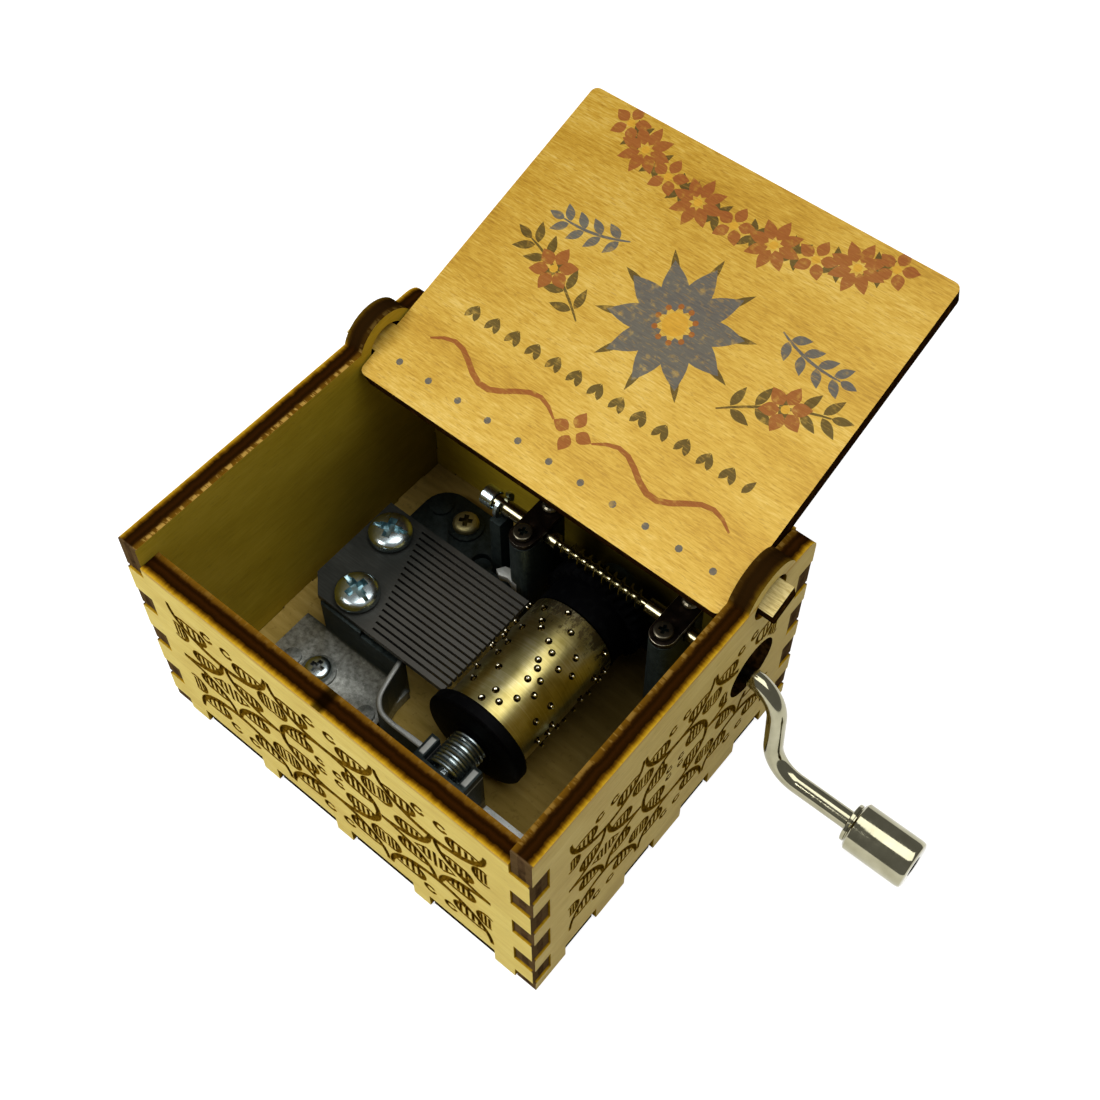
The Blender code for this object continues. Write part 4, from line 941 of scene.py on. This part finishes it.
steel = plated("drawn_steel", "8a989a", "c8d4d4", 0.3)
dress("cylinder_arbor", steel)
SPRING_FRONT = -16.4 * MM
SPRING_BACK = FLANGE_FRONT - 0.3 * MM
SPRING_RADIUS = 2.4 * MM
SPRING_WIRE = 0.24 * MM
CURLS = 10
STEPS = 20


def wire_piece(points, radius, name, body, node, slot, finish, resolution):
    """Round wire along a path, as a closed mesh."""
    curve = bpy.data.curves.new(name, "CURVE")
    curve.dimensions = "3D"
    curve.bevel_depth = radius
    curve.bevel_resolution = resolution
    curve.use_fill_caps = True
    spline = curve.splines.new("POLY")
    spline.points.add(len(points) - 1)
    for item, p in zip(spline.points, points):
        item.co = (*p, 1)
    item = bpy.data.objects.new(name, curve)
    bpy.context.scene.collection.objects.link(item)
    bpy.context.view_layer.update()
    graph = bpy.context.evaluated_depsgraph_get()
    mesh = bpy.data.meshes.new_from_object(item.evaluated_get(graph))
    bpy.data.objects.remove(item, do_unlink=True)
    bm = bmesh.new()
    bm.from_mesh(mesh)
    bmesh.ops.remove_doubles(bm, verts=bm.verts, dist=1e-7)
    bmesh.ops.recalc_face_normals(bm, faces=bm.faces)
    add_piece(bm, name, body, node, slot, finish, smooth=40)


points = []
for k in range(CURLS * STEPS + 1):
    a = 2 * math.pi * k / STEPS
    y = SPRING_BACK + (SPRING_FRONT - SPRING_BACK) * k / (CURLS * STEPS)
    points.append(Vector((CYL_X + SPRING_RADIUS * math.cos(a), y, CYL_Z + SPRING_RADIUS * math.sin(a))))
wire_piece(points, SPRING_WIRE, "wound_spring", "cylinder", "arbor_spring", "spring_steel", steel, 2)


# Crank shaft: one nickel-plated rod with a worm cut in it, a pressed collar at its free end
# and a spring clip behind the stand. The worm's single thread has a rounded crest.
nickel = plated("nickel", "8c886e", "b2ae94", 0.1, scale=500)
# The rod takes a darker copy of the crank's nickel: painted shade.
nickel_rod = plated("nickel_rod", "746e54", "a09a7c", 0.18, scale=500)
dress("shaft_clip", steel)
SHAFT_Y = 15.27 * MM
SHAFT_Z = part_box("worm_shaft")[1].z - 1.32 * MM
SHAFT_RADIUS = 1.1 * MM
SHAFT_LEFT = -11.1 * MM
SHAFT_RIGHT = 26.0 * MM
STUB_RADIUS = 0.55 * MM
STUB_LENGTH = 3.0 * MM
WORM_START = 1.9 * MM
WORM_PITCH = 1.37 * MM
WORM_TURNS = 10
WORM_END = WORM_START + WORM_TURNS * WORM_PITCH
WORM_CORE = 0.55 * MM
WORM_CREST = 1.32 * MM
NECK_RADIUS = WORM_CORE - 0.05 * MM
THREAD_STEPS = 48
bm = bmesh.new()
turned(bm, [(SHAFT_LEFT, 0), (SHAFT_LEFT, SHAFT_RADIUS - 0.15 * MM),
            (SHAFT_LEFT + 0.15 * MM, SHAFT_RADIUS), (WORM_START - 0.6 * MM, SHAFT_RADIUS),
            (WORM_START - 0.3 * MM, NECK_RADIUS), (WORM_END + 0.3 * MM, NECK_RADIUS),
            (WORM_END + 0.6 * MM, SHAFT_RADIUS), (SHAFT_RIGHT - 0.1 * MM, SHAFT_RADIUS),
            (SHAFT_RIGHT, SHAFT_RADIUS - 0.1 * MM), (SHAFT_RIGHT, STUB_RADIUS),
            (SHAFT_RIGHT + STUB_LENGTH, STUB_RADIUS), (SHAFT_RIGHT + STUB_LENGTH, 0)],
       (0, SHAFT_Y, SHAFT_Z), (1, 0, 0), 64)
foot = WORM_CORE - 0.15 * MM
half = WORM_PITCH / 2
section = [(-half, foot)]
for k in range(-10, 11):
    share = ((1 + math.cos(math.pi * k / 10)) / 2) ** 3
    section.append((half * k / 10, WORM_CORE + (WORM_CREST - WORM_CORE) * share))
section.append((half, foot))
first = WORM_START + WORM_PITCH * 0.35
phase = math.radians(-90) + (first - CYL_X) / WORM_PITCH * 2 * math.pi
outward = Vector((0, math.cos(phase), math.sin(phase)))
rim = [bm.verts.new(Vector((first + dx, SHAFT_Y, SHAFT_Z)) + outward * r) for dx, r in section]
loop = [bm.edges.new((a, b)) for a, b in zip(rim, rim[1:] + rim[:1])]
steps = round((WORM_TURNS - 0.7) * THREAD_STEPS)
bmesh.ops.spin(bm, geom=rim + loop, cent=(first, SHAFT_Y, SHAFT_Z), axis=(1, 0, 0),
               dvec=(WORM_PITCH / THREAD_STEPS, 0, 0), angle=steps * 2 * math.pi / THREAD_STEPS,
               steps=steps)
bmesh.ops.holes_fill(bm, edges=[e for e in bm.edges if e.is_boundary])
bmesh.ops.recalc_face_normals(bm, faces=bm.faces)
add_piece(bm, "turned_worm_shaft", "crank", "worm_shaft", "nickel_wire", nickel_rod, smooth=40)
low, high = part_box("shaft_collar")
bm = bmesh.new()
turned(bm, [(low.x, 1.25 * MM), (low.x, 1.35 * MM), (low.x + 0.15 * MM, 1.5 * MM),
            (high.x - 0.15 * MM, 1.5 * MM), (high.x, 1.38 * MM), (high.x, 1.25 * MM)],
       (0, SHAFT_Y, (low.z + high.z) / 2), (1, 0, 0), 48)
add_piece(bm, "pressed_collar", "crank", "shaft_collar", "zinc_plate", bright_zinc, smooth=30)


# Straps: two dark steel strips over the shaft, each held by a small screw in front and a
# rivet behind.
dark_oxide = Finish("dark_oxide", Metallic=0.8)
wear = dark_oxide.noise((700, 700, 700), 4.0)
dark_oxide.feed("Base Color", dark_oxide.ramp(wear, (0.3, "120e0a"), (0.6, "241a12"),
                                              (0.8, "4a3e30")))
dark_oxide.feed("Roughness", 0.28 + wear * 0.2)
dark_oxide.relief(wear, 0.00002)
worn_steel = plated("worn_steel", "a09882", "e4dfc8", 0.3)
bronzed = plated("bronzed_screw", "4e4a3e", "7a7462", 0.35)
# Darker than the bronzed heads: painted shade in the strap screws' crosses.
dark_recess = plated("dark_recess", "141c1b", "2c3836", 0.4)
STRAP_SCREW = (1.3, 0.7, 0.8)
for side in ("left", "right"):
    bm = copy_of("strap_" + side)
    soften(bm, 0.2 * MM, worn=1)
    add_piece(bm, "shaft_strap_" + side, "case", "strap_" + side, "dark_strap",
              dark_oxide.material, worn_steel, smooth=40)
    crossed_screw("strap_screw_" + side, "spring_steel", bronzed, dark_recess, STRAP_SCREW, 0.3, flat=True)
    dress("strap_rivet_" + side, bronzed)


# Crank: one thick nickel-plated wire bent twice, screwed into the shaft's end, with a loose
# turned knob on its handle.
WIRE_RADIUS = 1.3 * MM
ARM_TOP_X = 36.6 * MM
ARM_LOW_X = 38.6 * MM
BEND = 4.8 * MM
BEND_STEPS = 24
HANDLE = Vector((0, 12.8, 8.0)) * MM
SHAFT_END = 26.26 * MM
HANDLE_END = 59.4 * MM
right = Vector((1, 0, 0))
shaft_line = Vector((0, SHAFT_Y, SHAFT_Z))
corners = [shaft_line + right * SHAFT_END, shaft_line + right * ARM_TOP_X,
           HANDLE + right * ARM_LOW_X, HANDLE + right * HANDLE_END]
points = [corners[0]]
for before, corner, after in zip(corners, corners[1:], corners[2:]):
    into = (corner - before).normalized()
    away = (after - corner).normalized()
    turn = into.angle(away)
    inward = (away - into * into.dot(away)).normalized()
    start = corner - into * BEND * math.tan(turn / 2)
    for k in range(BEND_STEPS + 1):
        a = turn * k / BEND_STEPS
        points.append(start + (into * math.sin(a) + inward * (1 - math.cos(a))) * BEND)
points.append(corners[-1])
wire_piece(points, WIRE_RADIUS, "bent_crank", "crank", "crank_arm", "nickel_wire", nickel, 8)

KNOB_START = 50.7 * MM
KNOB_END = 60.0 * MM
KNOB_RADIUS = 3.3 * MM
bore = WIRE_RADIUS + 0.1 * MM
length = KNOB_END - KNOB_START
profile = [(0, bore), (0, 2.45 * MM), (0.1 * MM, 2.6 * MM), (0.5 * MM, 2.6 * MM), (0.56 * MM, 2.4 * MM),
           (0.7 * MM, 2.4 * MM), (0.76 * MM, 2.95 * MM), (1.05 * MM, KNOB_RADIUS),
           (length - 0.7 * MM, KNOB_RADIUS), (length - 0.35 * MM, KNOB_RADIUS * 0.985),
           (length - 0.12 * MM, KNOB_RADIUS * 0.95),
           (length, KNOB_RADIUS * 0.88), (length, bore)]
bm = bmesh.new()
turned(bm, profile, (KNOB_START, HANDLE.y, HANDLE.z), (1, 0, 0), 96)
add_piece(bm, "turned_knob", "knob", "crank_knob", "nickel_wire", nickel, smooth=35)


# Set: a pale floor and a backdrop that both look white to the camera, soft lamps from the front
# left and above, and the camera of the photograph.
FLOOR_REACH = 1.6
FLOOR_DROP = 0.2 * MM
WORLD_LIGHT = 0.22
bm = bmesh.new()
bmesh.ops.create_grid(bm, x_segments=1, y_segments=1, size=FLOOR_REACH)
bmesh.ops.translate(bm, verts=bm.verts, vec=(0, 0, -FLOOR_DROP))
mesh = bpy.data.meshes.new("pale_floor")
bm.to_mesh(mesh)
bm.free()
ground = Finish("pale_paper", Roughness=0.9, Base_Color=(0.5, 0.5, 0.5, 1.0), Emission_Strength=1.0)
seen = ground.node("ShaderNodeLightPath", out="Is Camera Ray")
glossy = ground.node("ShaderNodeLightPath", out="Is Glossy Ray")
ground.feed("Emission Color", ground.mix(seen.most(glossy), "000000", (0.84, 0.84, 0.84)))
mesh.materials.append(ground.material)
floor = bpy.data.objects.new("pale_floor", mesh)
bpy.context.scene.collection.objects.link(floor)

world = bpy.data.worlds.new("studio")
bpy.context.scene.world = world
world.use_nodes = True
backdrop = world.node_tree.nodes["Background"]
backdrop.inputs["Color"].default_value = (1, 1, 1, 1)
path = world.node_tree.nodes.new("ShaderNodeLightPath")
strength = world.node_tree.nodes.new("ShaderNodeMapRange")
strength.inputs["To Min"].default_value = WORLD_LIGHT
strength.inputs["To Max"].default_value = 1.0
world.node_tree.links.new(path.outputs["Is Camera Ray"], strength.inputs["Value"])
world.node_tree.links.new(strength.outputs["Result"], backdrop.inputs["Strength"])


def soft_lamp(name, place, target, size, power):
    """Square lamp that faces a point."""
    lamp = bpy.data.lights.new(name, "AREA")
    lamp.shape = "SQUARE"
    lamp.size = size
    lamp.energy = power
    item = bpy.data.objects.new(name, lamp)
    item.location = place
    item.rotation_euler = (Vector(target) - Vector(place)).to_track_quat("-Z", "Y").to_euler()
    bpy.context.scene.collection.objects.link(item)


soft_lamp("front_left_lamp", (-0.25, -0.45, 0.5), (0, 0, 0.02), 0.35, 3.3)
soft_lamp("top_lamp", (0.13, 0.06, 0.58), (0, 0, 0.02), 0.42, 1.6)

eye = Vector((74.306, -73.704, 199.19)) * MM
aim = Vector((-21.966, 43.825, -1.7)) * MM
lens = bpy.data.cameras.new("camera")
lens.lens = 52.62
lens.sensor_width = 36.0
lens.shift_x = -0.0086
lens.shift_y = -0.116
lens.clip_start = 0.005
lens.clip_end = 10
camera = bpy.data.objects.new("camera", lens)
turn = (aim - eye).to_track_quat("-Z", "Y").to_matrix().to_4x4() @ Matrix.Rotation(0.0014, 4, "Z")
camera.matrix_world = Matrix.Translation(eye) @ turn
bpy.context.scene.collection.objects.link(camera)
bpy.context.scene.camera = camera
bpy.context.scene.view_settings.view_transform = "Standard"
